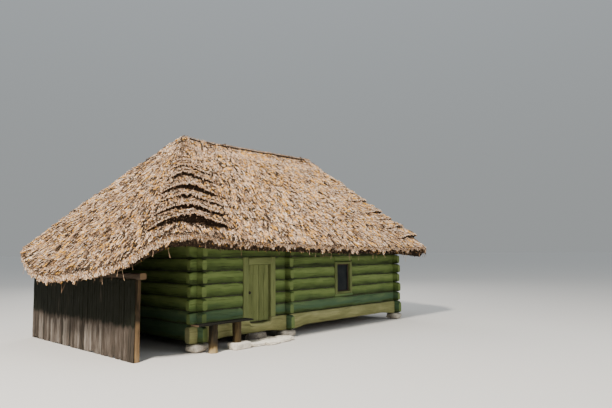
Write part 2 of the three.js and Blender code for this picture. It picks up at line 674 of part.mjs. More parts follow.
// A course steps out at its lower line, by its ledge and the tufts of its bundles, and ends flush at the next.
function ledge(i, k) {
  const column = fine[i % fine.length];
  const base = column.edge.clone().lerp(column.top, courseLine(i, k));
  const tuft = 0.5 + 0.5 * Math.sin((base.x + base.y) * 2 * Math.PI / TUFT_PITCH + 2.4 * k);
  return LEDGE_LOW + (COURSE_LEDGES[k] - LEDGE_LOW) * column.hip + TUFT_HEIGHT * tuft;
}

function courseRows(i) {
  const outer = [];
  for (let k = 0; k < COURSE_STEPS; k += 1) {
    const start = k === 0 ? 0 : courseLine(i, k) + LEDGE_SLANT;
    outer.push(outerPoint(i, start, ledge(i, k)), outerPoint(i, courseLine(i, k + 1), 0));
  }
  const inner = COURSE_LINES.map((line, k) => innerPoint(i, courseLine(i, k)));
  return { outer, inner, low: inner[0], high: inner[COURSE_STEPS] };
}

function closedGeometry(triangles, shift) {
  const positions = [];
  for (const corners of triangles) {
    for (const p of corners) {
      positions.push(p.x + shift[0], p.y + shift[1], p.z + shift[2]);
    }
  }
  const geometry = new THREE.BufferGeometry();
  geometry.setAttribute('position', new THREE.Float32BufferAttribute(positions, 3));
  return toGeometry(toSolid(geometry));
}

function quad(list, a, b, c, d) {
  list.push([a, b, c], [a, c, d]);
}

// One slope of thatch between two columns, closed along its hips, butt and upper edge.
function slope(name, first, last, shift) {
  const rows = [];
  for (let i = fineStart[first]; i <= fineStart[last]; i += 1) {
    rows.push(courseRows(i));
  }
  const faces = [];
  const end = COURSE_STEPS * 2 - 1;
  for (let c = 0; c < rows.length - 1; c += 1) {
    const a = rows[c];
    const b = rows[c + 1];
    for (let r = 0; r < end; r += 1) {
      quad(faces, a.outer[r], b.outer[r], b.outer[r + 1], a.outer[r + 1]);
    }
    const insideA = c === 0 ? a.inner : [a.low, a.high];
    const insideB = c === rows.length - 2 ? b.inner : [b.low, b.high];
    for (let k = 0; k < insideA.length - 1; k += 1) {
      faces.push([insideA[k], insideA[k + 1], b.high]);
    }
    for (let k = 0; k < insideB.length - 1; k += 1) {
      faces.push([a.low, insideB[k + 1], insideB[k]]);
    }
    quad(faces, a.low, b.low, b.outer[0], a.outer[0]);
    quad(faces, a.outer[end], b.outer[end], b.high, a.high);
  }
  for (const [side, flip] of [[rows[0], false], [rows[rows.length - 1], true]]) {
    const strip = [];
    for (let k = 0; k < COURSE_STEPS; k += 1) {
      quad(strip, side.outer[2 * k], side.outer[2 * k + 1], side.inner[k + 1], side.inner[k]);
      if (k < COURSE_STEPS - 1) {
        strip.push([side.outer[2 * k + 1], side.outer[2 * k + 2], side.inner[k + 1]]);
      }
    }
    for (const [a, b, c] of strip) {
      faces.push(flip ? [a, c, b] : [a, b, c]);
    }
  }
  add(name, closedGeometry(faces, shift), colours.straw);
}

const lift = GAP;
slope('thatch_front', 0, frontEnd, [0, -lift, 0]);
slope('thatch_right_end', frontEnd, rightEnd, [lift, 0, 0]);
slope('thatch_back', rightEnd, backEnd, [0, lift, 0]);
slope('thatch_left_end', backEnd, ring, [-lift, 0, 0]);

// The ridge cap closes the loft over the ridge line.
function capRows(i) {
  return {
    outer: [
      outerPoint(i, RIDGE_CAP_START, 0),
      outerPoint(i, RIDGE_CAP_START + LEDGE_SLANT, RIDGE_CAP_RISE),
      outerPoint(i, 0.95, RIDGE_CAP_RISE),
      outerPoint(i, 1, RIDGE_CAP_RISE / 2),
    ],
    inner: [innerPoint(i, RIDGE_CAP_START), innerPoint(i, 1)],
  };
}

const capFaces = [];
for (let i = 0; i < fine.length; i += 1) {
  const a = capRows(i);
  const b = capRows(i + 1);
  for (let r = 0; r < 3; r += 1) {
    quad(capFaces, a.outer[r], b.outer[r], b.outer[r + 1], a.outer[r + 1]);
  }
  quad(capFaces, a.inner[0], a.inner[1], b.inner[1], b.inner[0]);
  quad(capFaces, b.inner[0], b.outer[0], a.outer[0], a.inner[0]);
}
const shortestSide = ([a, b, c]) => Math.min(a.distanceTo(b), b.distanceTo(c), a.distanceTo(c));
const realFaces = capFaces.filter((face) => shortestSide(face) > 0.01);
add('thatch_ridge', closedGeometry(realFaces, [0, 0, 2 * lift]), colours.straw);

// Rafters: pairs over the ceiling beams with a collar, and one at the middle of each end.
function rafterPair(name, x, eaveZ) {
  const foot = WALL_TOP + GAP;
  const rise = (RIDGE_INNER_Z - eaveZ) / (RIDGE_Y + EAVE_OVERHANG);
  const depth = RAFTER_DEPTH * Math.hypot(1, rise);
  const outerFoot = -EAVE_OVERHANG + (foot - eaveZ) / rise;
  const innerFoot = outerFoot + depth / rise;
  const outerTop = RIDGE_INNER_Z;
  const innerTop = outerTop - depth;
  const mirror = (y) => HOUSE_DEPTH - y;
  const outline = [
    [outerFoot, foot], [innerFoot, foot], [RIDGE_Y, innerTop], [mirror(innerFoot), foot],
    [mirror(outerFoot), foot], [RIDGE_Y, outerTop],
  ];
  const collarZ = foot + (outerTop - foot) * 0.55;
  const reach = (innerTop - collarZ) / rise + 20;
  const collar = boxSolid(x - 30, x + 30, RIDGE_Y - reach, RIDGE_Y + reach, collarZ, collarZ + 90);
  const solid = toSolid(alongX(outline, x - RAFTER_WIDTH / 2, x + RAFTER_WIDTH / 2)).add(collar);
  add(name, toGeometry(solid), colours.pole);
}

rafterPair('rafter_pair_1', BEAM_X[0], z0 + 2210);
rafterPair('rafter_pair_2', BEAM_X[1], z0 + 2185);
rafterPair('rafter_pair_3', BEAM_X[2], z0 + 2150);
rafterPair('rafter_pair_4', BEAM_X[3], z0 + 2121);

const rafterSide = RAFTER_WIDTH / 2 + GAP;
const leftTop = BEAM_X[0] - rafterSide;
const leftFoot = -LEANTO_WIDTH + 20;
const leftRise = (RIDGE_INNER_Z - 250 - LEANTO_PLATE_TOP) / (leftTop - leftFoot);
const leftDepth = RAFTER_DEPTH * Math.hypot(1, leftRise);
const leftLine = (x) => LEANTO_PLATE_TOP + GAP + (x - leftFoot) * leftRise;
add('rafter_left_end', alongY([
  [leftFoot, leftLine(leftFoot)], [leftTop, leftLine(leftTop)],
  [leftTop, leftLine(leftTop) + leftDepth], [leftFoot, leftLine(leftFoot) + leftDepth],
], RIDGE_Y - 55, RIDGE_Y + 55), colours.pole);

const rightRise = RIGHT_RAFTER_RISE;
const rightDepth = RAFTER_DEPTH * Math.hypot(1, rightRise);
const rightFoot = WALL_TOP + CEILING_THICKNESS + 2 * GAP;
const rightTop = BEAM_X[3] + rafterSide;
const rightOuter = HOUSE_LENGTH - 30;
const rightLine = (x) => rightFoot + (rightOuter - x) * rightRise;
add('rafter_right_end', alongY([
  [rightTop, rightLine(rightTop) - rightDepth],
  [rightOuter - rightDepth / rightRise, rightFoot], [rightOuter, rightFoot],
  [rightTop, rightLine(rightTop)],
], RIDGE_Y - 55, RIDGE_Y + 55), colours.pole);

// Lean-to: posts, a plate whose end stands out at the front, upright boards and a closed back.
const leantoLeft = -LEANTO_WIDTH;
const plateLow = LEANTO_PLATE_TOP - LEANTO_PLATE_HEIGHT;
const postTop = plateLow - GAP;
const boardsRight = leantoLeft + LEANTO_BOARD;
const postLeftX = boardsRight + GAP;
const postRightX = postLeftX + LEANTO_POST;
add('leanto_post_front', box(postLeftX, postRightX, -60, -60 + LEANTO_POST, 0, postTop), colours.board);
add('leanto_post_back', box(postLeftX, postRightX, HOUSE_DEPTH + 30 - LEANTO_POST, HOUSE_DEPTH + 30, 0, postTop),
  colours.board);
add('leanto_plate', box(postLeftX - 10, postRightX + 10, PLATE_FRONT_END, PLATE_BACK_END,
  plateLow, LEANTO_PLATE_TOP), colours.board);
add('leanto_boards', box(leantoLeft, boardsRight, BOARDS_FRONT, BOARDS_BACK, 0, postTop), colours.board);
add('leanto_back_boards', box(postLeftX, -LOG_END - 20, HOUSE_DEPTH + 30 + GAP, BOARDS_BACK, 0, postTop),
  colours.board);

// Bench against the front wall: a thin seat on two stout posts, the right one on a squared stone.
const seatBack = -LOG_END + endTrims[4] - GAP;
const seatBottom = SEAT_TOP - SEAT_THICKNESS;
const legTop = seatBottom - GAP;
const [[leftLegLeft, leftLegRight], [rightLegLeft, rightLegRight]] = BENCH_LEGS;
add('bench_seat', box(SEAT_LEFT, SEAT_RIGHT, SEAT_FRONT, seatBack, seatBottom, SEAT_TOP), colours.sill);
add('bench_leg_left', box(leftLegLeft, leftLegRight, BENCH_LEG_FRONT, BENCH_LEG_BACK, 0, legTop), colours.sill);
add('bench_leg_right', box(rightLegLeft, rightLegRight, BENCH_LEG_FRONT, BENCH_LEG_BACK,
  BENCH_STONE_HEIGHT + GAP, legTop), colours.sill);
stone('bench_stone', 1030, -410, 520, 360, BENCH_STONE_HEIGHT, 0.9);

// Thin poles lie along both sides of the ridge, joined by short sticks that saddle it at both ends.
function stick(ax, ay, az, bx, by, bz, radius) {
  const from = new THREE.Vector3(ax, ay, az);
  const to = new THREE.Vector3(bx, by, bz);
  const length = from.distanceTo(to);
  const geometry = new THREE.CylinderGeometry(radius, radius, length, 6);
  const ahead = to.clone().sub(from).normalize();
  geometry.applyQuaternion(new THREE.Quaternion().setFromUnitVectors(new THREE.Vector3(0, 1, 0), ahead));
  const middle = from.clone().add(to).multiplyScalar(0.5);
  geometry.translate(middle.x, middle.y, middle.z);
  return toSolid(geometry);
}

const slopeRise = (RIDGE_INNER_Z - (z0 + 2200)) / (RIDGE_Y + EAVE_OVERHANG);
const poleZ = RIDGE_INNER_Z + RIDGE_VERTICAL_THICKNESS - POLE_DOWN * slopeRise + POLE_SEAT;
const crown = poleZ + POLE_DOWN * slopeRise + 20;
const tieLow = poleZ - 110;
const tieReach = POLE_DOWN + 150;
const frontPole = RIDGE_Y - POLE_DOWN;
const backPole = RIDGE_Y + POLE_DOWN;
let poles = stick(POLES_LEFT, frontPole, poleZ, POLES_RIGHT, frontPole, poleZ, POLE_RADIUS);
poles = poles.add(stick(POLES_LEFT, backPole, poleZ, POLES_RIGHT, backPole, poleZ, POLE_RADIUS));
for (const [x, skew] of POLE_TIES) {
  const far = x + skew;
  poles = poles.add(stick(x, RIDGE_Y - tieReach, tieLow, far, RIDGE_Y + 40, crown, TIE_RADIUS));
  poles = poles.add(stick(far, RIDGE_Y + tieReach, tieLow, far, RIDGE_Y - 40, crown, TIE_RADIUS));
}
add('ridge_poles', toGeometry(poles), colours.pole);

// The origin goes to the middle of the footprint, on the ground.
const bounds = new THREE.Box3().setFromObject(group);
const middleX = (bounds.min.x + bounds.max.x) / 2;
const middleY = (bounds.min.y + bounds.max.y) / 2;
group.children.forEach((mesh) => {
  mesh.geometry.translate(-middleX, -middleY, -bounds.min.z);
});

export default group;
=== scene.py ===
# %% [markdown]
# # Dressing a thatched log cottage
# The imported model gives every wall, slope and post its place. Each cell below takes one thing that a
# visitor would notice, such as the coat of straw or the hewn logs, and gives it its real surface.
# Lengths are metres. "House coordinates" have X = 0 and Y = 0 at the front left corner of the logs,
# with X along the front, Y into the house and Z up from the ground.

import math

import bpy
import numpy as np
from mathutils import Matrix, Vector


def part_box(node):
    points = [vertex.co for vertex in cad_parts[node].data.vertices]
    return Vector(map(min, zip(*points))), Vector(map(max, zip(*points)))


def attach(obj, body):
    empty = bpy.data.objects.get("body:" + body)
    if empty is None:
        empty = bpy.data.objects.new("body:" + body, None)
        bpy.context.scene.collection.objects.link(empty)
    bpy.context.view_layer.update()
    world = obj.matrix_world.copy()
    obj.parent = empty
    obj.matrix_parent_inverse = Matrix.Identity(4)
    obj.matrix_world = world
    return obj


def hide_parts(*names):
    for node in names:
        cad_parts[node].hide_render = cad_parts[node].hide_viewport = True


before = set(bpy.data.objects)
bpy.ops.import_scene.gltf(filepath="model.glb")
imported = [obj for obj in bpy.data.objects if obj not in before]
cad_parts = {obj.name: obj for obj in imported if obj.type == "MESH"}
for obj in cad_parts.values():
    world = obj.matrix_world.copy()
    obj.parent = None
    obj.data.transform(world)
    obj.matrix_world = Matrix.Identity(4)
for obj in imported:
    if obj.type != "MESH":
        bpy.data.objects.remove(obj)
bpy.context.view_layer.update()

# %% [markdown]
# The ceiling boards stop 20 mm inside the logs all round, so their lowest corner tells where the house
# corner lies in the row frame. Every piece is worked out in house coordinates and shifted once.

# %% House corner
CEILING_GAP = 0.02
ceiling_low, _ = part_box("ceiling_boards")
CORNER = np.array([ceiling_low.x - CEILING_GAP, ceiling_low.y - CEILING_GAP, 0.0])
STONE_TOP = 0.2004
SILL_HEIGHT = 0.44
SILL_TOP = STONE_TOP + SILL_HEIGHT
COURSE = 0.333
COURSES = 6
WALL_TOP = SILL_TOP + COURSES * COURSE
HOUSE_LENGTH = 8.8
HOUSE_DEPTH = 5.7
LOG = 0.18
NEAR_MIDDLE = LOG / 2
BACK_MIDDLE = HOUSE_DEPTH - LOG / 2
RIGHT_MIDDLE = HOUSE_LENGTH - LOG / 2
rng = np.random.default_rng(1897)
print("house corner", CORNER.round(4))

# %% [markdown]
# ## Shader maths as plain expressions
# A material is a graph of nodes, which is slow to read as a list of links. Here one small class holds a
# socket, so that `1 - moss * 0.4` adds the Math nodes for it.

# %% Sockets with operators
class Value:
    """One output socket of a node tree, with arithmetic that adds Math nodes."""

    def __init__(self, tree, socket):
        self.tree = tree
        self.socket = socket

    def _math(self, operation, *terms, clamp=False):
        settings = {"operation": operation, "use_clamp": clamp}
        return self.tree.add("ShaderNodeMath", settings, dict(enumerate(terms)))

    def __add__(self, other):
        return self._math("ADD", self, other)

    def __sub__(self, other):
        return self._math("SUBTRACT", self, other)

    def __rsub__(self, other):
        return self._math("SUBTRACT", other, self)

    def __mul__(self, other):
        return self._math("MULTIPLY", self, other)

    def __truediv__(self, other):
        return self._math("DIVIDE", self, other)

    __radd__ = __add__
    __rmul__ = __mul__

    def clamped(self):
        return self._math("ADD", self, 0.0, clamp=True)

    def absolute(self):
        return self._math("ABSOLUTE", self)

    def fraction(self):
        return self._math("FRACT", self)

    def floor(self):
        return self._math("FLOOR", self)


class Tree:
    """The node tree of a material or a world, with one way to add a node and a few common nodes."""

    def __init__(self, name, owner=None, surface="Principled BSDF"):
        self.owner = owner or bpy.data.materials.new(name)
        self.owner.use_nodes = True
        self.nodes = self.owner.node_tree.nodes
        self.links = self.owner.node_tree.links
        self.surface = self.nodes[surface]

    def add(self, kind, settings=None, inputs=None, output=0):
        node = self.nodes.new(kind)
        for key, value in (settings or {}).items():
            if key == "stops":
                ramp = node.color_ramp
                while len(ramp.elements) < len(value):
                    ramp.elements.new(0.5)
                for element, (position, colour) in zip(ramp.elements, value):
                    element.position = position
                    element.color = (*colour, 1.0)
            else:
                setattr(node, key, value)
        for key, value in (inputs or {}).items():
            self.put(node.inputs[key], value)
        return Value(self, node.outputs[output])

    def put(self, socket, value):
        if isinstance(value, Value):
            self.links.new(value.socket, socket)
        elif socket.type == "RGBA":
            socket.default_value = (*value, 1.0)
        else:
            socket.default_value = value

    def place(self, kind="Object", scale=(1.0, 1.0, 1.0)):
        source = self.add("ShaderNodeTexCoord", output=["Generated", "Normal", "UV", "Object"].index(kind))
        return self.add("ShaderNodeMapping", None, {"Vector": source, "Scale": scale})

    def axis(self, number):
        """X, Y or Z of the Object coordinates, for number 0, 1 or 2."""
        return self.add("ShaderNodeSeparateXYZ", None, {0: self.place()}, output=number)

    def mark(self, name):
        return self.add("ShaderNodeAttribute", {"attribute_name": name}, output=2)

    def noise(self, place, scale, detail=4.0, roughness=0.55, distortion=0.0):
        return self.add("ShaderNodeTexNoise", None, {
            "Vector": place, "Scale": scale, "Detail": detail, "Roughness": roughness,
            "Distortion": distortion,
        })

    def between(self, value, low, high):
        """0 below low, 1 above high, and a smooth change between; with low above high it falls."""
        return self.add("ShaderNodeMapRange", {"interpolation_type": "SMOOTHSTEP"}, {
            "Value": value, "From Min": low, "From Max": high,
        })

    def blend(self, share, first, second, how="MIX"):
        return self.add("ShaderNodeMix", {"data_type": "RGBA", "blend_type": how},
                        {0: share, 6: first, 7: second}, output=2)

    def ramp(self, value, *stops):
        return self.add("ShaderNodeValToRGB", {"stops": stops}, {"Fac": value})

    def finish(self, colour, roughness, height=None, depth=0.01, **constants):
        """Colour, roughness and a bump whose height is given in shares of depth, in metres."""
        self.put(self.surface.inputs["Base Color"], colour)
        self.put(self.surface.inputs["Roughness"], roughness)
        if height is not None:
            bump = self.add("ShaderNodeBump", None, {"Height": height, "Distance": depth, "Strength": 1.0})
            self.put(self.surface.inputs["Normal"], bump)
        for key, value in constants.items():
            self.put(self.surface.inputs[key.replace("_", " ")], value)
        return self.owner


# %% [markdown]
# ## Old wood, from one recipe
# Limewash, bare boards and dark beams differ in colour, but all of them are wood whose grain runs along
# the piece. Each piece carries a UV map in metres, along and around it, so one recipe serves them all:
# long fibres from a stretched noise, wide stains from a loose one, and a tone of its own for each piece.

# %% Wood finishes
def wood(name, dark, middle, light, fibre=1.0, stain=0.5, painted_lap_shade=0.0, end_colour=None,
         painted_eave_shade=0.0, painted_shade_heights=(0.74, 0.98), painted_sky_tint=None):
    """Fibres follow the UV map; tone is a number per piece; lap is -1 at a log's lower edge, 1 at its upper,
    and painted_lap_shade paints light and shade across each log by lap.

    painted_eave_shade is painted shadow: how much darker the wood is painted above the heights
    painted_shade_heights, as if an eave or a seat shaded it;
    painted_sky_tint is a painted reflection: a bluish green tint of sky light on the lower logs."""
    tree = Tree(name)
    fibres = tree.noise(tree.place("UV", (2.2, 55.0, 1.0)), 1.0, 6.0, 0.6, 0.4)
    cracks = tree.noise(tree.place("UV", (0.9, 26.0, 1.0)), 1.0, 3.0, 0.5, 0.8)
    stains = tree.noise(tree.place("UV", (1.3, 4.5, 1.0)), 1.0, 4.0, 0.55, 0.3)
    crack = tree.between(cracks, 0.40, 0.33)
    tone = tree.mark("tone")
    above_ground = tree.axis(2)
    balance = 0.275 * fibre + 0.5 * stain + 0.375
    value = fibres * (0.55 * fibre) + stains * stain + tone * 0.75 - balance + 0.5
    # Painted light and shade across each log: lighter over its upper half, darker over its lower half, and
    # darker still along both edges where logs meet.
    if painted_lap_shade:
        lap = tree.mark("lap")
        value = value + (tree.between(lap, -1.0, 0.45) - 0.62) * painted_lap_shade
        value = value - tree.between(lap.absolute(), 0.80, 1.0) * painted_lap_shade * 0.6
    # Painted shadow: the wood is darker above a wavy height, where an eave or a seat would shade it.
    if painted_eave_shade:
        shade_line_height = above_ground + (stains - 0.5) * 0.5 + tone * 0.12
        value = value - tree.between(shade_line_height, *painted_shade_heights) * painted_eave_shade
    value = value - crack * 0.22
    colour = tree.ramp(value.clamped(), (0.0, dark), (0.5, middle), (1.0, light))
    # Painted reflection: a bluish green sky tint over the lighter parts of the wall below about a metre.
    if painted_sky_tint:
        foot = tree.between(above_ground + (stains - 0.5) * 0.4, 1.20, 0.80) * 0.65
        colour = tree.blend(foot * tree.between(value, 0.1, 0.5), colour, painted_sky_tint)
    if end_colour:
        colour = tree.blend(tree.mark("end") * 0.75, colour, end_colour)
    relief = fibres * 0.35 - crack * 0.6 + stains * 0.25
    return tree.finish(colour, 0.85, relief, 0.012, Specular_IOR_Level=0.2)


limewash = wood("limewashed_log", (0.019, 0.028, 0.007), (0.094, 0.136, 0.034), (0.198, 0.252, 0.080),
                fibre=0.8, stain=0.7, painted_lap_shade=0.62, end_colour=(0.13, 0.17, 0.050),
                painted_sky_tint=(0.032, 0.080, 0.060))
sill_wood = wood("pale_sill_log", (0.070, 0.070, 0.024), (0.205, 0.202, 0.080), (0.41, 0.40, 0.20),
                 fibre=0.9, stain=0.8, painted_lap_shade=0.22, end_colour=(0.14, 0.14, 0.07))
door_wood = wood("door_plank", (0.036, 0.044, 0.013), (0.125, 0.144, 0.048), (0.225, 0.238, 0.092),
                 fibre=1.0, stain=0.6)
frame_wood = wood("frame_board", (0.038, 0.048, 0.014), (0.130, 0.152, 0.052), (0.225, 0.245, 0.098),
                  fibre=0.9, stain=0.6, end_colour=(0.09, 0.095, 0.045))
# The boards, the old post and the bench get painted shadow: darker above a height, as if shaded by the eave
# or the seat.
old_board = wood("weathered_board", (0.005, 0.006, 0.001), (0.088, 0.066, 0.050), (0.36, 0.31, 0.26),
                 fibre=1.6, stain=0.8, end_colour=(0.34, 0.20, 0.08), painted_eave_shade=0.78)
dark_wood = wood("dark_pole", (0.010, 0.007, 0.005), (0.050, 0.034, 0.022), (0.15, 0.11, 0.075),
                 fibre=1.2, stain=0.7, end_colour=(0.16, 0.10, 0.05))
post_wood = wood("old_post", (0.020, 0.013, 0.006), (0.17, 0.105, 0.050), (0.50, 0.33, 0.15),
                 fibre=1.4, stain=0.8, end_colour=(0.20, 0.13, 0.06), painted_eave_shade=0.45)
bench_wood = wood("bench_wood", (0.010, 0.009, 0.006), (0.070, 0.045, 0.016), (0.60, 0.44, 0.22),
                  fibre=1.2, stain=0.8, end_colour=(0.14, 0.09, 0.05), painted_eave_shade=0.60, painted_shade_heights=(0.17, 0.36))
print("materials so far", len(bpy.data.materials))

# %% [markdown]
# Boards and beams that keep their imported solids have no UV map, so their grain runs along one axis of
# the Object coordinates. Plank joints are thin dark lines at a fixed spacing.

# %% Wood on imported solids
ALONG_X, ALONG_Y = (1.2, 30.0, 30.0), (30.0, 1.2, 30.0)
BEAM_COLOURS = (0.02, 0.014, 0.010), (0.08, 0.056, 0.038), (0.17, 0.125, 0.09)


def plain_wood(name, dark, middle, light, grain=ALONG_X, plank=0.0):
    """Fibres along one axis; plank is the width of boards along X, each with a tone of its own."""
    tree = Tree(name)
    fibres = tree.noise(tree.place("Object", grain), 1.0, 5.0, 0.6, 0.3)
    stains = tree.noise(tree.place(), 1.7, 4.0)
    value = fibres * 0.6 + stains * 0.7 - 0.15
    relief = fibres
    if plank:
        row = tree.axis(1) / plank
        line = tree.between((row.fraction() - 0.5).absolute(), 0.47, 0.49)
        number = tree.add("ShaderNodeTexWhiteNoise", {"noise_dimensions": "1D"}, {"W": row.floor()})
        value = value + number * 0.35 - 0.17 - line * 0.6
        relief = fibres * 0.4 - line * 2.0
    colour = tree.ramp(value.clamped(), (0.0, dark), (0.5, middle), (1.0, light))
    return tree.finish(colour, 0.88, relief, 0.006)


beam_x = plain_wood("beam_along_x", *BEAM_COLOURS)
beam_y = plain_wood("beam_along_y", *BEAM_COLOURS, ALONG_Y)
floor_wood = plain_wood("floor_planks", (0.05, 0.038, 0.028), (0.17, 0.13, 0.095), (0.30, 0.24, 0.18),
                        plank=0.21)
ceiling_wood = plain_wood("ceiling_planks", (0.04, 0.03, 0.02), (0.13, 0.10, 0.07), (0.22, 0.17, 0.12),
                          plank=0.19)

# %% [markdown]
# ## Straw, stone, iron and glass
# A straw takes its colour from one number, its tone: from near black, which is painted shade deep in the
# coat, through the grey beige of weathered straw to a near white that is a painted highlight, and on to the
# gold of new straw. The coat under the straws is painted near black as the shade in the gaps between straws,
# coloured by noise that is stretched up the roof.

# %% Straw, stone, iron and glass
# Painted shade and highlight in the ramp: the near black stops stand for shade deep in the coat, the near
# white stop at 0.88 for sunlit highlights.
STRAW_STOPS = (
    (0.0, (0.008, 0.005, 0.003)), (0.22, (0.070, 0.040, 0.022)), (0.45, (0.28, 0.172, 0.104)),
    (0.68, (0.62, 0.410, 0.260)), (0.88, (1.0, 0.84, 0.68)), (0.93, (0.88, 0.47, 0.12)),
    (1.0, (0.92, 0.47, 0.04)),
)
tree = Tree("straw_thatch")
patch = tree.noise(tree.place(), 0.9, 3.0)
straw_colour = tree.ramp(tree.mark("tone"), *STRAW_STOPS)
straw_colour = tree.blend(tree.between(patch, 0.35, 0.7) * 0.22, straw_colour, (0.36, 0.24, 0.15), "MULTIPLY")
straw_material = tree.finish(straw_colour, 0.75, Specular_IOR_Level=0.2)

# Painted shade: the coat under the straws is near black, so that the gaps between the straws read as shadow.
tree = Tree("straw_coat")
coat_noise = tree.noise(tree.place("Object", (90.0, 90.0, 26.0)), 1.0, 5.0, 0.7)
gap_shade_colour = tree.ramp(coat_noise, (0.36, (0.006, 0.004, 0.003)), (0.52, (0.045, 0.029, 0.018)),
                         (0.72, (0.24, 0.16, 0.10)))
coat_material = tree.finish(gap_shade_colour, 0.9, coat_noise, 0.03, Specular_IOR_Level=0.1)

tree = Tree("field_stone")
grain = tree.noise(tree.place(), 34.0, 8.0, 0.65)
cloud = tree.noise(tree.place(), 5.0, 5.0)
lichen = tree.between(tree.noise(tree.place(), 9.0, 6.0, 0.7), 0.60, 0.68)
stone_colour = tree.ramp((grain * 0.45 + cloud * 0.55 + tree.mark("tone") * 0.5 - 0.25).clamped(),
                         (0.22, (0.06, 0.05, 0.042)), (0.5, (0.42, 0.37, 0.30)), (0.78, (0.88, 0.81, 0.68)))
stone_colour = tree.blend(lichen * 0.4, stone_colour, (0.27, 0.24, 0.12))
stone_material = tree.finish(stone_colour, 0.9, grain * 0.6 + cloud * 0.4, 0.02)

tree = Tree("dark_iron")
rust = tree.noise(tree.place(), 60.0, 6.0)
iron_material = tree.finish(tree.ramp(rust, (0.35, (0.008, 0.007, 0.006)), (0.7, (0.035, 0.020, 0.012))),
                            rust * 0.3 + 0.4, rust, 0.001, Metallic=0.6)

tree = Tree("window_glass")
dust = tree.noise(tree.place(), 3.0, 5.0)
glass_material = tree.finish(tree.ramp(dust, (0.3, (0.006, 0.008, 0.010)), (0.8, (0.020, 0.022, 0.022))),
                             dust * 0.12 + 0.06, dust, 0.0015, Specular_IOR_Level=0.12)

tree = Tree("seam_moss")
moss = tree.noise(tree.place(), 22.0, 7.0, 0.7)
moss_colour = tree.ramp(moss, (0.3, (0.012, 0.013, 0.006)), (0.7, (0.055, 0.058, 0.026)))
moss_material = tree.finish(moss_colour, 0.95, moss, 0.02)
print("materials so far", len(bpy.data.materials))

# %% [markdown]
# ## Mesh helpers
# A shape here is three things: points, triangles, and marks, which are numbers per point or per face.
# `loft` joins rings of points into closed tubes, and `timbers` makes the rings for a whole set of logs,
# boards or sticks at once: each is a straight path with a slow bend and a section that swells and shrinks
# a little, as hewn wood does.

# %% Arrays to meshes
def make_piece(name, shape, material, replaces=(), body="cottage", sharp=35.0):
    """A shape in house coordinates becomes one mesh that rides on a body.

    Its faces are smooth over edges below sharp degrees, or all flat where sharp is None."""
    points, triangles, marks = shape
    mesh = bpy.data.meshes.new(name)
    mesh.vertices.add(len(points))
    mesh.vertices.foreach_set("co", (points + CORNER).astype(np.float32).ravel())
    mesh.loops.add(triangles.size)
    mesh.loops.foreach_set("vertex_index", triangles.astype(np.int32).ravel())
    mesh.polygons.add(len(triangles))
    mesh.polygons.foreach_set("loop_start", np.arange(0, triangles.size, 3, dtype=np.int32))
    mesh.update(calc_edges=True)
    mesh.polygons.foreach_set("use_smooth", np.full(len(triangles), sharp is not None))
    if sharp is not None:
        mesh.set_sharp_from_angle(angle=math.radians(sharp))
    for mark, values in marks.items():
        numbers = values.astype(np.float32).ravel()
        if mark == "uv":
            mesh.uv_layers.new(name="grain").data.foreach_set("uv", numbers)
        else:
            domain = "POINT" if len(values) == len(points) else "FACE"
            mesh.attributes.new(mark, "FLOAT", domain).data.foreach_set("value", numbers)
    mesh.materials.append(material)
    piece = bpy.data.objects.new(name, mesh)
    bpy.context.scene.collection.objects.link(piece)
    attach(piece, body)
    if replaces:
        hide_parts(*replaces)
    print(name, len(triangles), "triangles")


def tube_faces(stations, sides):
    """Triangles of one closed tube: two for each place on the wall, then a fan round each end's middle.

    Its points are the rings in their order and then the middles of the first and the last ring."""
    side = np.arange(sides)
    after = (side + 1) % sides
    rings = np.arange(stations - 1)[:, None] * sides
    a, b, c, d = rings + side, rings + after, rings + sides + after, rings + sides + side
    walls = np.stack([a, b, c, a, c, d], axis=-1).reshape(-1, 3)
    middle, last = stations * sides, (stations - 1) * sides
    front = np.stack([np.full(sides, middle), after, side], axis=-1)
    back = np.stack([np.full(sides, middle + 1), last + side, last + after], axis=-1)
    return np.concatenate([walls, front, back])


def repeated(faces, size, count):
    """The triangles of count shapes like the first, which has size points."""
    return (faces[None] + size * np.arange(count)[:, None, None]).reshape(-1, 3)


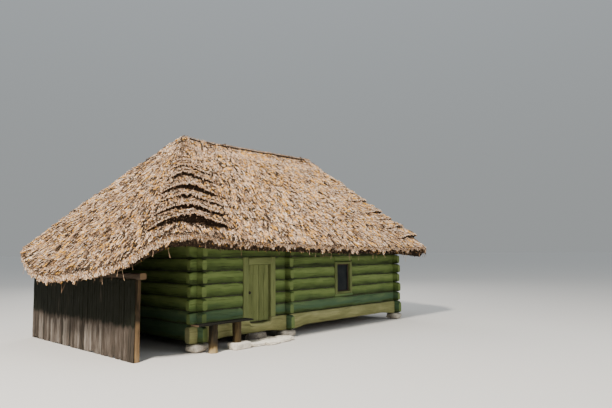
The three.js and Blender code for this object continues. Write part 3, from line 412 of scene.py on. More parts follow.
def loft(rings, lap=None, tones=0.5):
    """Closed tubes from rings (bars, stations, sides, 3): faces between neighbours and a fan at each end.

    The UV map is metres along the tube and around it, with an offset per tube."""
    bars, stations, sides, _ = rings.shape
    centres = rings[:, [0, -1]].mean(axis=2)
    points = np.concatenate([rings.reshape(bars, -1, 3), centres], axis=1)
    size = points.shape[1]
    faces = tube_faces(stations, sides)
    start = np.zeros((bars, 1))
    along = np.linalg.norm(np.diff(rings.mean(axis=2), axis=1), axis=-1).cumsum(axis=1)
    along = np.concatenate([start, along], axis=1)
    girth = np.linalg.norm(np.roll(rings, -1, axis=2) - rings, axis=-1).mean(axis=1).cumsum(axis=1)
    girth = np.concatenate([start, girth], axis=1)
    u = np.stack([along[:, i:i + stations - 1] for i in (0, 0, 1, 0, 1, 1)], axis=-1)
    v = np.stack([girth[:, i:i + sides] for i in (0, 1, 1, 0, 1, 0)], axis=-1)
    u = np.repeat(u[:, :, None], sides, axis=2).reshape(bars, -1)
    v = np.repeat(v[:, None], stations - 1, axis=1).reshape(bars, -1)
    caps = points[:, faces[-2 * sides:]].reshape(bars, -1, 3)
    ends = np.stack([caps[:, :, 0] + caps[:, :, 1], caps[:, :, 2] * 0.35], axis=-1)
    uv = np.concatenate([np.stack([u, v], axis=-1), ends], axis=1) + (np.arange(bars) * 3.7)[:, None, None]
    marks = {
        "uv": uv.reshape(-1, 2),
        "end": np.tile(np.arange(len(faces)) >= len(faces) - 2 * sides, bars),
        "tone": np.repeat(np.broadcast_to(tones, bars), size),
    }
    if lap is not None:
        marks["lap"] = np.tile(np.r_[np.tile(lap, stations), 0.0, 0.0], bars)
    return points.reshape(-1, 3), repeated(faces, size, bars), marks


def wander(shape, amount, waves=2.0):
    """A slow random bend along the second axis: three sine waves with random phases, about amount high."""
    share = np.linspace(0.0, 1.0, shape[1])[None, :, None]
    phase = rng.uniform(0, 2 * np.pi, (shape[0], 1, 3))
    size = rng.normal(0, 1, (shape[0], 1, 3))
    pace = waves * np.array([0.5, 1.1, 2.3])
    return amount * 0.5 * (size * np.sin(2 * np.pi * pace * share + phase)).sum(axis=-1)


def rounded(sides, square):
    """A section from -1 to 1: a circle pulled towards its corners; square is 2 for round, 6 for squared."""
    angle = (np.arange(sides) + 0.5) * 2 * np.pi / sides
    circle = np.stack([np.cos(angle), np.sin(angle)], axis=-1)
    return np.sign(circle) * np.abs(circle) ** (2 / square)


def timbers(starts, ends, width, height, section, stations=14, up=(0, 0, 1), bend=0.006, swell=0.03,
            rough=0.002, end_taper=0.0, waves=2.0, tones=0.5, lap=False):
    """Bars from starts to ends. The section's first axis is width, its second is height, along up.

    The middle line is straight plus waves of bend, with its stations closer at the ends. The width and the
    height are multiplied by 1 plus waves of swell, and each point is moved in or out by about rough.
    A bar that lies along up has no direction for its height, and its points come out as not-a-number."""
    starts, ends = np.atleast_2d(starts).astype(float), np.atleast_2d(ends).astype(float)
    up = np.asarray(up, float)
    bars = len(starts)
    length = np.linalg.norm(ends - starts, axis=1)
    even = np.linspace(0.0, 1.0, stations)
    share = np.tile(even - 0.09 * np.sin(2 * np.pi * even) if stations > 4 else even, (bars, 1))
    path = starts[:, None] + (ends - starts)[:, None] * share[..., None]
    ahead = (ends - starts) / length[:, None]
    lift = up - (ahead * up).sum(axis=1, keepdims=True) * ahead
    lift /= np.linalg.norm(lift, axis=1, keepdims=True)
    across = np.cross(lift, ahead)
    width, height = (np.broadcast_to(np.reshape(full, (-1, 1)), (bars, 1)) / 2 for full in (width, height))
    wide = width * (1 + wander((bars, stations), swell, waves))
    tall = height * (1 + wander((bars, stations), swell, waves))
    if end_taper:
        from_end = np.minimum(share, 1 - share) * length[:, None]
        shrink = 1 - end_taper * np.exp(-from_end / 0.07) - 0.5 * end_taper * np.exp(-from_end / 0.012)
        wide, tall = wide * shrink, tall * shrink
    side_step = (wander((bars, stations), bend, waves)[..., None] * across[:, None]
                 + wander((bars, stations), bend, waves)[..., None] * lift[:, None])
    centre = path + side_step
    uneven = rng.normal(0, 1, (bars, stations, len(section))) * rough
    uneven = 1 + uneven / np.minimum(width, height)[:, :, None]
    spread = section[:, 0] * wide[..., None] * uneven
    rise = section[:, 1] * tall[..., None] * uneven
    across, lift = across[:, None, None], lift[:, None, None]
    rings = centre[:, :, None] + spread[..., None] * across + rise[..., None] * lift
    return loft(rings, section[:, 1] if lap else None, tones)


def upright(places, y, low, high, width, height, section, stations, **how):
    """Standing bars at each x of places; their height is their size into the house."""
    return timbers([(x, y, low) for x in places], [(x, y, high) for x in places],
                   width, height, section, stations, up=(0, 1, 0), **how)


def level(heights, y, left, right, width, height, section, stations, **how):
    """Lying bars along the front at each z of heights."""
    return timbers([(left, y, z) for z in heights], [(right, y, z) for z in heights],
                   width, height, section, stations, **how)


def joined(*groups):
    """Several shapes as one."""
    points, triangles, marks, count = [], [], {}, 0
    for group_points, group_triangles, group_marks in groups:
        points.append(group_points)
        triangles.append(group_triangles + count)
        count += len(group_points)
        for key, values in group_marks.items():
            marks.setdefault(key, []).append(values)
    return np.concatenate(points), np.concatenate(triangles), {k: np.concatenate(v) for k, v in marks.items()}

# %% [markdown]
# ## The log walls
# Each log was hewn by hand: two flat faces, cut corners, and round ends that thin out past the notch.
# One section with cut corners, drawn along each log with a slow swelling, gives that. The mark `lap` runs
# from a log's lower to its upper edge, and the finish uses it to paint light and shade: a lighter upper half,
# a darker lower half and a painted shade line along each seam.

# %% Log section and wall logs
HALF_LOG = np.array([(1.0, -0.5), (1.03, 0.0), (1.0, 0.5), (0.93, 0.80), (0.74, 0.96), (0.0, 1.0),
                     (-0.74, 0.96), (-0.93, 0.80)])
LOG_SECTION = np.concatenate([HALF_LOG, -HALF_LOG])
LOG_END = 0.23
CROSS_X, CROSS_DOORWAY = 3.18, (1.5, 2.38)
POST_LEFT, POST_RIGHT = 1.503, 2.710
WINDOW_LEFT, WINDOW_RIGHT, WINDOW_LOW, WINDOW_HIGH = 5.349, 6.223, 1.0794, 2.1044
LET_IN = 0.01
TRIMS = np.array([0.0, 0.038, 0.012, 0.055, 0.020, 0.042, 0.008])


def course_middle(i):
    return SILL_TOP + (i + 0.5) * COURSE


def runs(*stops):
    """Pairs of neighbouring stops: from the first to the second, from the third to the fourth, and so on."""
    return list(zip(stops[::2], stops[1::2]))


def front_span(left, right, z):
    return [(left, NEAR_MIDDLE, z), (right, NEAR_MIDDLE, z)]


def wall_logs(spans, height=COURSE):
    """Logs between the two points of each span, with a random tone each and ends that thin out."""
    spans = np.array(spans, float)
    tones = rng.uniform(0.36, 0.64, len(spans))
    return timbers(spans[:, 0], spans[:, 1], LOG + 0.004, height, LOG_SECTION, 30, bend=0.004, swell=0.016,
                   rough=0.0022, end_taper=0.17, waves=3.0, tones=tones, lap=True)


front_spans = []
for i in range(COURSES):
    window = (WINDOW_LEFT + LET_IN, WINDOW_RIGHT - LET_IN) if i > 0 else ()
    openings = (POST_LEFT + LET_IN, POST_RIGHT - LET_IN, *window) if i < COURSES - 1 else ()
    left_end = -LOG_END + TRIMS[i + 1]
    right_end = HOUSE_LENGTH + LOG_END - TRIMS[(i + 4) % len(TRIMS)]
    front_spans += [front_span(*run, course_middle(i)) for run in runs(left_end, *openings, right_end)]
seam_under, seam_over = SILL_TOP + COURSE, SILL_TOP + 5 * COURSE
short_middles = (seam_under + WINDOW_LOW) / 2, (seam_over + WINDOW_HIGH) / 2
short_logs = level(short_middles, NEAR_MIDDLE, WINDOW_LEFT - 0.02, WINDOW_RIGHT + 0.02, LOG, [0.108, 0.203],
                   LOG_SECTION, 8, bend=0.001, swell=0.01, tones=[0.45, 0.55], lap=True)
make_piece("front_logs", joined(wall_logs(front_spans), short_logs), limewash, (
    "wall_front_left", "wall_front_middle", "wall_front_under_window", "wall_front_right", "wall_front_top"))

# %% Back, side and cross walls
levels = [STONE_TOP + SILL_HEIGHT / 2] + [course_middle(i) for i in range(COURSES)]


def wall_of_logs(name, node_names, first, last, doorway=()):
    """A wall with one log per level from first to last, both (x, y); doorway is a gap in middle levels."""
    first, last = np.array(first), np.array(last)
    ahead = (last - first) / np.linalg.norm(last - first)
    low_spans, spans = [], []
    for i, z in enumerate(levels):
        start, end = first + ahead * TRIMS[i], last - ahead * TRIMS[(i + 3) % len(TRIMS)]
        gap = doorway if 0 < i < COURSES else ()
        (spans if i else low_spans).extend([(*a, z), (*b, z)] for a, b in runs(start, *gap, end))
    shape = joined(wall_logs(low_spans, SILL_HEIGHT), wall_logs(spans))
    make_piece(name, shape, limewash, node_names)


far_right, far_back = HOUSE_LENGTH + LOG_END, HOUSE_DEPTH + LOG_END
wall_of_logs("back_logs", ("wall_back",), (-LOG_END, BACK_MIDDLE), (far_right, BACK_MIDDLE))
wall_of_logs("left_logs", ("wall_left",), (NEAR_MIDDLE, -LOG_END), (NEAR_MIDDLE, far_back))
wall_of_logs("right_logs", ("wall_right",), (RIGHT_MIDDLE, -LOG_END), (RIGHT_MIDDLE, far_back))
wall_of_logs("cross_logs", ("sill_cross", "wall_cross_front", "wall_cross_back", "wall_cross_top"),
             (CROSS_X, -LOG_END), (CROSS_X, far_back), tuple((CROSS_X, y) for y in CROSS_DOORWAY))

# %% [markdown]
# Moss and tow were rammed between the logs. It shows only as a dark line, so it is a set of thin soft
# strips behind each seam, which also keeps light from falling through.

# %% Moss in the seams
MOSS_START = 0.02
moss_right, moss_back = HOUSE_LENGTH - MOSS_START, HOUSE_DEPTH - MOSS_START
moss_spans = []
for i, z in enumerate(SILL_TOP + np.arange(COURSES) * COURSE):
    strips = runs(MOSS_START, POST_LEFT, POST_RIGHT, WINDOW_LEFT, WINDOW_RIGHT, moss_right)
    if i in (0, 1, 5):
        strips.append((WINDOW_LEFT, WINDOW_RIGHT))
    moss_spans += [front_span(*strip, z) for strip in strips]
    moss_spans.append([(MOSS_START, BACK_MIDDLE, z), (moss_right, BACK_MIDDLE, z)])
    for x, stops in ((NEAR_MIDDLE, ()), (RIGHT_MIDDLE, ()), (CROSS_X, CROSS_DOORWAY)):
        moss_spans += [[(x, a, z), (x, b, z)] for a, b in runs(MOSS_START, *stops, moss_back)]
moss_spans = np.array(moss_spans)
moss_strips = timbers(moss_spans[:, 0], moss_spans[:, 1], 0.148, 0.05, rounded(8, 3), 24,
                      bend=0.003, swell=0.05, rough=0.003)
make_piece("seam_moss", moss_strips, moss_material)

# %% [markdown]
# ## The sill log
# The lowest log is the stoutest and palest, bows down between its stones, and has a threshold worn
# hollow by feet. Its upper and lower lines are functions of X, and the section is fitted between them.

# %% Sill log
SILL_LEFT, SILL_RIGHT = -LOG_END, HOUSE_LENGTH + LOG_END
SILL_MIDDLE, SILL_HALF = 0.0675, 0.1125
WORN_LEFT, WORN_RIGHT = 1.69, 2.525
DOOR_DIP, WEAR_DEPTH, WEAR_START, WEAR_SPAN = 0.098, 0.035, 1.7, 0.8
LEFT_BAY, RIGHT_BAY = (0.44, 2.86), (3.5, 8.46)
LEFT_BOW, RIGHT_BOW = 0.060, 0.072


def sill_lines(x):
    """Upper and lower edge of the sill at x: a bow under each bay, and a dip with its wear at the door."""
    wear = np.clip(np.minimum(x - WORN_LEFT, WORN_RIGHT - x) / 0.05, 0, 1)
    dip = wear * (DOOR_DIP + WEAR_DEPTH * np.sin(np.pi * np.clip((x - WEAR_START) / WEAR_SPAN, 0, 1)))
    bow_left = np.clip(np.minimum(x - LEFT_BAY[0], LEFT_BAY[1] - x) / 0.5, 0, 1)
    bow_right = np.clip(np.minimum(x - RIGHT_BAY[0], RIGHT_BAY[1] - x) / 0.7, 0, 1)
    bow = LEFT_BOW * np.sin(bow_left * np.pi / 2) + RIGHT_BOW * np.sin(bow_right * np.pi / 2)
    return SILL_TOP - dip, STONE_TOP + bow


sill_x = np.sort(np.concatenate([
    np.linspace(SILL_LEFT, SILL_RIGHT, 110), WORN_LEFT + np.array([0, 0.01, 0.05]),
    WORN_RIGHT - np.array([0.05, 0.01, 0]), SILL_LEFT + np.array([0.008, 0.03]),
    SILL_RIGHT - np.array([0.03, 0.008]),
]))
upper, lower = sill_lines(sill_x)
from_end = np.minimum(sill_x - SILL_LEFT, SILL_RIGHT - sill_x)
shrink = 1 - 0.14 * np.exp(-from_end / 0.06)
middle, half = (upper + lower) / 2, (upper - lower) / 2 * shrink
uneven = 1 + rng.normal(0, 0.011, (len(sill_x), len(LOG_SECTION)))
sill_rings = np.stack([
    np.repeat(sill_x[:, None], len(LOG_SECTION), axis=1),
    SILL_MIDDLE + SILL_HALF * LOG_SECTION[:, 0] * shrink[:, None] * uneven,
    middle[:, None] + half[:, None] * LOG_SECTION[:, 1] * uneven,
], axis=-1)[None]
make_piece("sill_log", loft(sill_rings, LOG_SECTION[:, 1]), sill_wood, ("sill_front",))

# %% [markdown]
# ## Stones
# Field stones and the slabs of the step are swollen boxes: a sphere's grid pushed towards the sides of a
# box, then roughened by a few random waves. The poles are single points, so each stone is closed.

# %% Field stones
STONE_RINGS, STONE_SIDES, STONE_WAVES = 18, 30, 9


def stones(name, node_names, centres, sizes, square, rough, tones):
    """Superellipsoids with random waves; sizes are full widths, square pushes a sphere to its box."""
    centres, sizes = np.atleast_2d(centres).astype(float), np.atleast_2d(sizes).astype(float)
    count = len(centres)
    slope = np.linspace(-np.pi / 2, np.pi / 2, STONE_RINGS)[None, :, None]
    turn = (np.arange(STONE_SIDES) * 2 * np.pi / STONE_SIDES)[None, None, :]
    direction = np.stack([np.cos(slope) * np.cos(turn), np.cos(slope) * np.sin(turn),
                          np.sin(slope) * np.ones_like(turn)], axis=-1)
    shape = direction / (np.abs(direction) ** square).sum(axis=-1, keepdims=True) ** (1 / square)
    waves = np.zeros((count, STONE_RINGS, STONE_SIDES))
    for _ in range(STONE_WAVES):
        pull = rng.normal(0, 1, (count, 1, 1, 3)) * rng.uniform(1.5, 6)
        waves += np.sin((shape * pull).sum(axis=-1) * 1.6 + rng.uniform(0, 6.28, (count, 1, 1)))
    waves = waves[..., None] / STONE_WAVES ** 0.5 * rough
    body = centres[:, None, None] + shape * (1 - rough + waves) * sizes[:, None, None] / 2
    body[..., 2] = np.maximum(body[..., 2], 0.0)
    inner = body[:, 1:-1].reshape(count, -1, 3)
    points = np.concatenate([inner, body[:, [0, -1], 0]], axis=1)
    size = points.shape[1]
    triangles = repeated(tube_faces(STONE_RINGS - 2, STONE_SIDES), size, count)
    make_piece(name, (points.reshape(-1, 3), triangles, {"tone": np.repeat(tones, size)}),
               stone_material, node_names, sharp=50.0)


def stone_for(node, name, tone, square=3.2, rough=0.045):
    low, high = (np.array(corner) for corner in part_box(node))
    stones(name, (node,), (low + high) / 2 - CORNER, (high - low) * 1.05, square, rough, [tone])


for place, tone in (("front_left", 0.62), ("front_middle", 0.45), ("front_right", 0.5),
                    ("back_left", 0.4), ("back_middle", 0.5), ("back_right", 0.55)):
    stone_for("stone_" + place, "boulder_" + place, tone)
stone_for("bench_stone", "bench_stone_dressed", 0.80, 11.0, 0.018)
# Painted light and shade: the front slabs get the lightest tones, as if sunlit, and the last one, the riser
# under the threshold, a near black tone as the shade under the sill.
stones("step_slabs", ("door_step",),
       [(1.62, -0.38, 0.045), (2.02, -0.50, 0.05), (2.45, -0.44, 0.045), (2.74, -0.30, 0.05),
        (1.75, -0.10, 0.04), (2.28, -0.08, 0.045), (2.0, 0.04, 0.13)],
       [(0.56, 0.42, 0.10), (0.50, 0.42, 0.11), (0.52, 0.40, 0.10), (0.40, 0.56, 0.11), (0.44, 0.36, 0.10),
        (0.62, 0.38, 0.10), (0.66, 0.26, 0.27)],
       5.5, 0.05, [0.86, 0.95, 0.92, 0.86, 0.6, 0.6, 0.05])

# %% [markdown]
# ## Door and window
# The leaf is four planks with open joints, two battens behind, and a round stile whose wooden pins turn
# in the sill and the lintel. Every part of the leaf rides on the body `door`. The stile and the pins do
# not show: they stand along the `up` of their two calls, so their points come out as not-a-number. They
# need up=(0, 1, 0), as the other upright bars have it.

# %% Door leaf
BOARD = rounded(12, 7)
BATTEN_HEIGHTS, BATTEN_LEFT, BATTEN_RIGHT = (0.7954, 1.8484), 1.77, 2.478
LEAF_LOW, LEAF_HIGH = 0.5504, 2.0934
PLANK_Y, BATTEN_Y = 0.0735, 0.094
HINGE_X, HINGE_Y = 2.488, 0.081
PIN_LOW, PIN_HIGH = 0.505, 2.137
plank_edges = np.array([1.708, 1.905, 2.112, 2.300, HINGE_X])
plank_middle = (plank_edges[1:] + plank_edges[:-1]) / 2
plank_width = np.diff(plank_edges) - np.array([0.005, 0.005, 0.012, 0.004])
planks = upright(plank_middle, PLANK_Y, LEAF_LOW, LEAF_HIGH, plank_width, 0.026, BOARD, 16,
                 bend=0.0007, swell=0.004, rough=0.0003, tones=[0.5, 0.58, 0.47, 0.55])
battens = level(BATTEN_HEIGHTS, BATTEN_Y, BATTEN_LEFT, BATTEN_RIGHT, 0.0145, 0.105, BOARD, 10,
                bend=0.0004, swell=0.01, rough=0.0003, tones=[0.4, 0.45])
stile = timbers((HINGE_X, HINGE_Y, LEAF_LOW), (HINGE_X, HINGE_Y, LEAF_HIGH), 0.0405, 0.0405,
                rounded(16, 2.2), 16, bend=0.0002, swell=0.002, rough=0.0002)
pivots = timbers((HINGE_X, HINGE_Y, PIN_LOW), (HINGE_X, HINGE_Y, PIN_HIGH), 0.0275, 0.0275,
                 rounded(12, 2), 4, bend=0.0, swell=0.0, rough=0.0, tones=0.35)
leaf = joined(planks, battens, stile, pivots)
make_piece("door_planks", leaf, door_wood, ("door_leaf",), "door")

# %% Knob and nails
KNOB = [(-0.0006, 0.044), (0.0024, 0.0435), (0.0036, 0.029), (0.006, 0.029), (0.010, 0.013), (0.016, 0.012),
        (0.020, 0.024), (0.026, 0.030), (0.031, 0.026), (0.0335, 0.012)]
NAIL = [(0.0, 0.006), (0.0015, 0.006), (0.003, 0.003)]
NAIL_HEIGHTS = [0.78, 0.815, 1.83, 1.865]


def turned(profile, centre, sides=24):
    """Rings of a profile of (distance out of the front, radius), spun round a level axis through centre."""
    distance, radius = np.array(profile).T[..., None]
    angle = np.arange(sides) * 2 * np.pi / sides
    ring = [radius * np.cos(angle), -distance * np.ones(sides), radius * np.sin(angle)]
    return np.array(centre) + np.stack(ring, axis=-1)


knob_rings = turned(KNOB, (1.782, 0.0594, 1.3404))
make_piece("door_pull", loft(knob_rings[None]), iron_material, ("door_knob",), "door")
nail_x, nail_z = np.meshgrid(np.r_[plank_middle - 0.05, plank_middle + 0.045], NAIL_HEIGHTS)
nail_rings = np.stack([turned(NAIL, (x, 0.0612, z), 8) for x, z in zip(nail_x.ravel(), nail_z.ravel())])
make_piece("door_nails", loft(nail_rings), iron_material, body="door")

# %% Door and window frames
DOOR_POSTS, LINTEL_MIDDLE, LINTEL_TOP = (1.6005, 2.6125), 2.2027, 2.3050
TRIM_Y, WINDOW_Y, SASH_Y = 0.084, 0.083, 0.078
SASH_FINISH = {"bend": 0.0003, "swell": 0.003, "rough": 0.0003}
posts = upright(DOOR_POSTS, TRIM_Y, SILL_TOP, LINTEL_TOP, 0.194, 0.192, BOARD, 14,
                bend=0.001, swell=0.004, rough=0.0008, tones=[0.55, 0.6])
lintel = level([LINTEL_MIDDLE], TRIM_Y, 1.70, 2.513, 0.190, 0.2045, BOARD, 10,
               bend=0.0008, swell=0.004, rough=0.0008, tones=0.66)
make_piece("door_frame", joined(posts, lintel), frame_wood,
           ("door_post_left", "door_post_right", "door_lintel"))

window_posts = upright((WINDOW_LEFT + 0.06, WINDOW_RIGHT - 0.06), WINDOW_Y, WINDOW_LOW, WINDOW_HIGH,
                       0.119, 0.192, BOARD, 12, bend=0.0008, swell=0.004, rough=0.0007, tones=[0.40, 0.42])
window_rails = level((WINDOW_LOW + 0.035, WINDOW_HIGH - 0.035), WINDOW_Y, WINDOW_LEFT + 0.116,
                     WINDOW_RIGHT - 0.116, 0.188, 0.069, BOARD, 10, bend=0.0006, swell=0.004, rough=0.0007,
                     tones=[0.44, 0.40])
make_piece("window_surround", joined(window_posts, window_rails), frame_wood,
           ("window_frame",))
sash_posts = upright((5.487, 6.085), SASH_Y, 1.155, 2.029, 0.034, 0.03, BOARD, 8, **SASH_FINISH)
sash_rails = level((1.168, 2.016), SASH_Y, 5.475, 6.097, 0.03, 0.034, BOARD, 8, **SASH_FINISH)
make_piece("window_sash", joined(sash_posts, sash_rails), dark_wood)

# %% [markdown]
# ## Bench, lean-to, beams and ridge poles
# These are sawn or split pieces of bare wood. The lean-to's boards stand on end, no two alike, with open
# joints and frayed feet, so each gets its own width, height and tone.

# %% Bench
LEG_X, LEG_Y, LEG_FEET, LEG_TOP = (0.22, 0.9675), -0.385, (0.0, 0.165), 0.687
# Painted shade and light: the seat gets the darkest tone, as shaded, and the legs the lightest, so their feet
# show painted sunlight below the painted shadow of the seat.
seat = level([0.707], -0.378, -0.32, 1.39, 0.333, 0.0415, rounded(16, 6), 30,
             bend=0.002, swell=0.006, rough=0.0008, tones=0.0)
legs = timbers([(x, LEG_Y, z) for x, z in zip(LEG_X, LEG_FEET)], [(x, LEG_Y, LEG_TOP) for x in LEG_X],
               [0.208, 0.213], 0.208, rounded(14, 2.5), 12, up=(0, 1, 0), bend=0.002, swell=0.02, rough=0.002,
               tones=[0.85, 1.0])
make_piece("bench", joined(seat, legs), bench_wood,
           ("bench_seat", "bench_leg_left", "bench_leg_right"))

# %% Lean-to boards
PLATE_LOW = 1.8504
SIDE_X, SIDE_START, SIDE_SPAN = -1.725, -0.06, 5.82
REAR_Y, REAR_START, REAR_SPAN = 5.7452, -1.7096, 1.4596
BOARD_FINISH = {"up": (0, 1, 0), "bend": 0.0015, "swell": 0.01, "rough": 0.0008}


def upright_boards(span, least, most):
    """Middles, widths and feet of boards that fill span side by side; about half of the feet end high."""
    edges = np.concatenate([[0.0], np.cumsum(rng.uniform(least, most, 200))])
    edges = edges[edges < span]
    edges = edges * span / edges[-1]
    middle = (edges[1:] + edges[:-1]) / 2
    foot = rng.uniform(0.0, 0.05, len(middle)) * (rng.uniform(0, 1, len(middle)) > 0.5)
    return middle, np.diff(edges) - rng.uniform(0.002, 0.009, len(middle)), foot


y_middle, y_width, foot = upright_boards(SIDE_SPAN, 0.095, 0.165)
thick = rng.uniform(0.020, 0.028, len(foot))
starts = np.stack([SIDE_X + rng.uniform(-0.002, 0.002, len(foot)), y_middle + SIDE_START, foot], axis=-1)
ends = starts.copy()
ends[:, 2] = PLATE_LOW - rng.uniform(0.0, 0.006, len(foot))
ends[:, 0] += rng.uniform(-0.002, 0.002, len(foot))
tones = rng.uniform(0.15, 0.85, len(foot))
side_boards = timbers(starts, ends, thick, y_width, BOARD, 16, tones=tones, **BOARD_FINISH)
make_piece("leanto_side_boards", side_boards, old_board, ("leanto_boards",))
x_middle, x_width, foot = upright_boards(REAR_SPAN, 0.10, 0.16)
starts = np.stack([x_middle + REAR_START, np.full(len(foot), REAR_Y), foot], axis=-1)
ends = starts.copy()
ends[:, 2] = PLATE_LOW - 0.002
rear_boards = timbers(starts, ends, x_width, rng.uniform(0.020, 0.027, len(foot)), BOARD, 16,
                      tones=rng.uniform(0.15, 0.85, len(foot)), **BOARD_FINISH)
make_piece("leanto_rear_boards", rear_boards, old_board, ("leanto_back_boards",))

# %% Lean-to frame and ceiling beams
FRAME_X, FRAME_Y, PLATE_Z = -1.6396, (0.01, 5.66), 1.9254
BEAM_PLACES, BEAM_Z = (1.6, 4.05, 5.45, 6.75), WALL_TOP - 0.075
frame_posts = timbers([(FRAME_X, y, 0.0) for y in FRAME_Y], [(FRAME_X, y, PLATE_LOW) for y in FRAME_Y],
                      0.138, 0.138, rounded(14, 4), 14, up=(0, 1, 0), bend=0.003, swell=0.02, rough=0.002,
                      tones=[0.5, 0.45])
plate = timbers((FRAME_X, -0.25, PLATE_Z), (FRAME_X, 5.85, PLATE_Z), 0.158, 0.149, rounded(14, 4.5), 30,
                bend=0.002, swell=0.015, rough=0.002)
make_piece("leanto_frame_posts", frame_posts, post_wood,
           ("leanto_post_front", "leanto_post_back"))
make_piece("leanto_wall_plate", plate, dark_wood, ("leanto_plate",))
beams = timbers([(x, -0.4, BEAM_Z) for x in BEAM_PLACES], [(x, 6.1, BEAM_Z) for x in BEAM_PLACES],
                0.158, 0.149, rounded(14, 5), 24, bend=0.002, swell=0.012, rough=0.002,
                tones=rng.uniform(0.35, 0.6, 4))
make_piece("ceiling_beams", beams, dark_wood, [f"ceiling_beam_{i + 1}" for i in range(4)])

# %% [markdown]
# ## The straw coat
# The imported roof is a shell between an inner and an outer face, lofted over columns that run round the
# eave. The same columns are repeated here, so that a place on the roof is a pair (u, v): u counts columns
# round the eave and v goes from the eave at 0 to the ridge at 1. On that map, straws can be laid anywhere.

# %% Roof columns
FRONT_EAVE = np.array([
    (-0.79, -0.75, 2.400), (-0.56, -0.75, 2.375), (-0.30, -0.75, 2.345), (0.10, -0.75, 2.325),
    (0.76, -0.75, 2.305), (1.60, -0.75, 2.280), (2.46, -0.75, 2.255), (3.83, -0.75, 2.210),
    (4.94, -0.75, 2.175), (6.30, -0.75, 2.160), (7.49, -0.75, 2.150), (8.40, -0.75, 2.135),
    (9.02, -0.73, 2.105), (9.36, -0.67, 2.060), (9.57, -0.52, 2.020),
])
RIGHT_EAVE = np.array([
    (9.69, 0.0, 2.07), (9.70, 0.7, 2.14), (9.70, 1.7, 2.18), (9.70, 2.85, 2.19), (9.70, 4.0, 2.18),
    (9.70, 5.0, 2.15), (9.69, 5.7, 2.11),
])
LEFT_EAVE = np.array([
    (-1.25, -0.77, 2.385), (-1.70, -0.70, 2.205), (-2.05, -0.48, 1.960), (-2.25, -0.05, 1.800),
    (-2.33, 0.7, 1.690), (-2.33, 1.8, 1.600), (-2.33, 2.85, 1.545), (-2.31, 3.8, 1.640),
    (-2.24, 4.6, 1.880), (-2.07, 5.35, 2.090), (-1.74, 5.95, 2.230), (-1.25, 6.33, 2.300),
])
BACK_EAVE_LEVEL, BACK_EAVE_SLOPE = 2.19, 0.4
BACK_EAVE = FRONT_EAVE * [1, -1, BACK_EAVE_SLOPE] + [0, HOUSE_DEPTH, BACK_EAVE_LEVEL * (1 - BACK_EAVE_SLOPE)]
RIDGE_LEFT, RIDGE_RIGHT, RIDGE_Y, RIDGE_LOW = 1.45, 7.15, 2.85, 5.59
THATCH, RIDGE_THATCH, RIDGE_HUMP = 0.265, 0.375, 0.075
COURSE_LINES = np.array([0, 0.105, 0.203, 0.293, 0.37, 0.497, 0.592, 0.667, 0.87, 1.0])
LEDGES = np.array([0.140, 0.280, 0.180, 0.140, 0.210, 0.155, 0.110, 0.070])
TOP_COURSE = len(LEDGES)
COURSE_DROP, LEDGE_LOW, CAP_RISE = 0.03, 0.008, 0.030
TUFT_HEIGHT, TUFT_PITCH = 0.022, 0.9
FAR = 9.999
FRONT_END = len(FRONT_EAVE) - 1
RIGHT_END = len(FRONT_EAVE) + len(RIGHT_EAVE)
BACK_END = RIGHT_END + len(BACK_EAVE) - 1
inner_low = np.concatenate([FRONT_EAVE, RIGHT_EAVE, BACK_EAVE[::-1], LEFT_EAVE[::-1]]) + [0, 0, STONE_TOP]
COLUMNS = len(inner_low)


def fading(distance, reach, power):
    """1 at distance 0, falling to 0 at reach; a power below 1 keeps it high for longer."""
    return np.maximum(0, 1 - distance / reach) ** power


left_x, front_y, right_x = FRONT_EAVE[0, 0], FRONT_EAVE[0, 1], FRONT_EAVE[-1, 0]
from_left, from_right = FRONT_EAVE[:, 0] - left_x, right_x - FRONT_EAVE[:, 0]
from_corner = np.minimum(RIGHT_EAVE[:, 1] + 0.5, HOUSE_DEPTH + 0.5 - RIGHT_EAVE[:, 1])
from_front = np.hypot(LEFT_EAVE[:, 0] - left_x, LEFT_EAVE[:, 1] - front_y)[::-1]
from_back = np.hypot(LEFT_EAVE[:, 0] - left_x, LEFT_EAVE[:, 1] - HOUSE_DEPTH + front_y)[::-1]
nearest = np.minimum(from_left, from_right)
right_and_back, far_left = np.full(BACK_END + 1 - len(FRONT_EAVE), FAR), np.full(len(LEFT_EAVE), FAR)
along_front = np.concatenate([from_left, right_and_back, far_left])
along_side = np.concatenate([[0.0], np.full(BACK_END, FAR), from_front])
along_right = np.concatenate([from_right, from_corner, from_right[::-1], far_left])
full = np.concatenate([
    np.maximum(fading(from_left, 1.9, 0.8), fading(from_right, 1.5, 0.8)),
    fading(from_corner, 1.5, 0.8), fading(nearest, 1.5, 0.8)[::-1],
    np.maximum(fading(from_front, 2.3, 0.8), fading(from_back, 1.7, 0.8)),
])
belly = np.concatenate([fading(from_right, 1.5, 0.8), fading(from_corner, 1.5, 0.8),
                        fading(from_right, 1.5, 0.8)[::-1], np.zeros(len(LEFT_EAVE))])
arch = np.maximum(0, 1 - (np.concatenate([nearest, from_corner, from_right[::-1], from_front]) / 1.6) ** 2)
ridge_x = RIDGE_LEFT + from_left / (right_x - left_x) * (RIDGE_RIGHT - RIDGE_LEFT)
crest_x = np.concatenate([ridge_x, np.full(len(RIGHT_EAVE), RIDGE_RIGHT), ridge_x[::-1],
                          np.full(len(LEFT_EAVE), RIDGE_LEFT)])
flat = np.zeros(COLUMNS)
inner_high = np.stack([crest_x, flat + RIDGE_Y, flat + RIDGE_LOW], axis=-1)
normal = np.cross(np.roll(inner_low, -1, axis=0) - np.roll(inner_low, 1, axis=0), inner_high - inner_low)
outer_low = inner_low + THATCH * normal / np.linalg.norm(normal, axis=1, keepdims=True)
hump = RIDGE_HUMP * np.exp(-((crest_x - RIDGE_LEFT) / 0.42) ** 2)
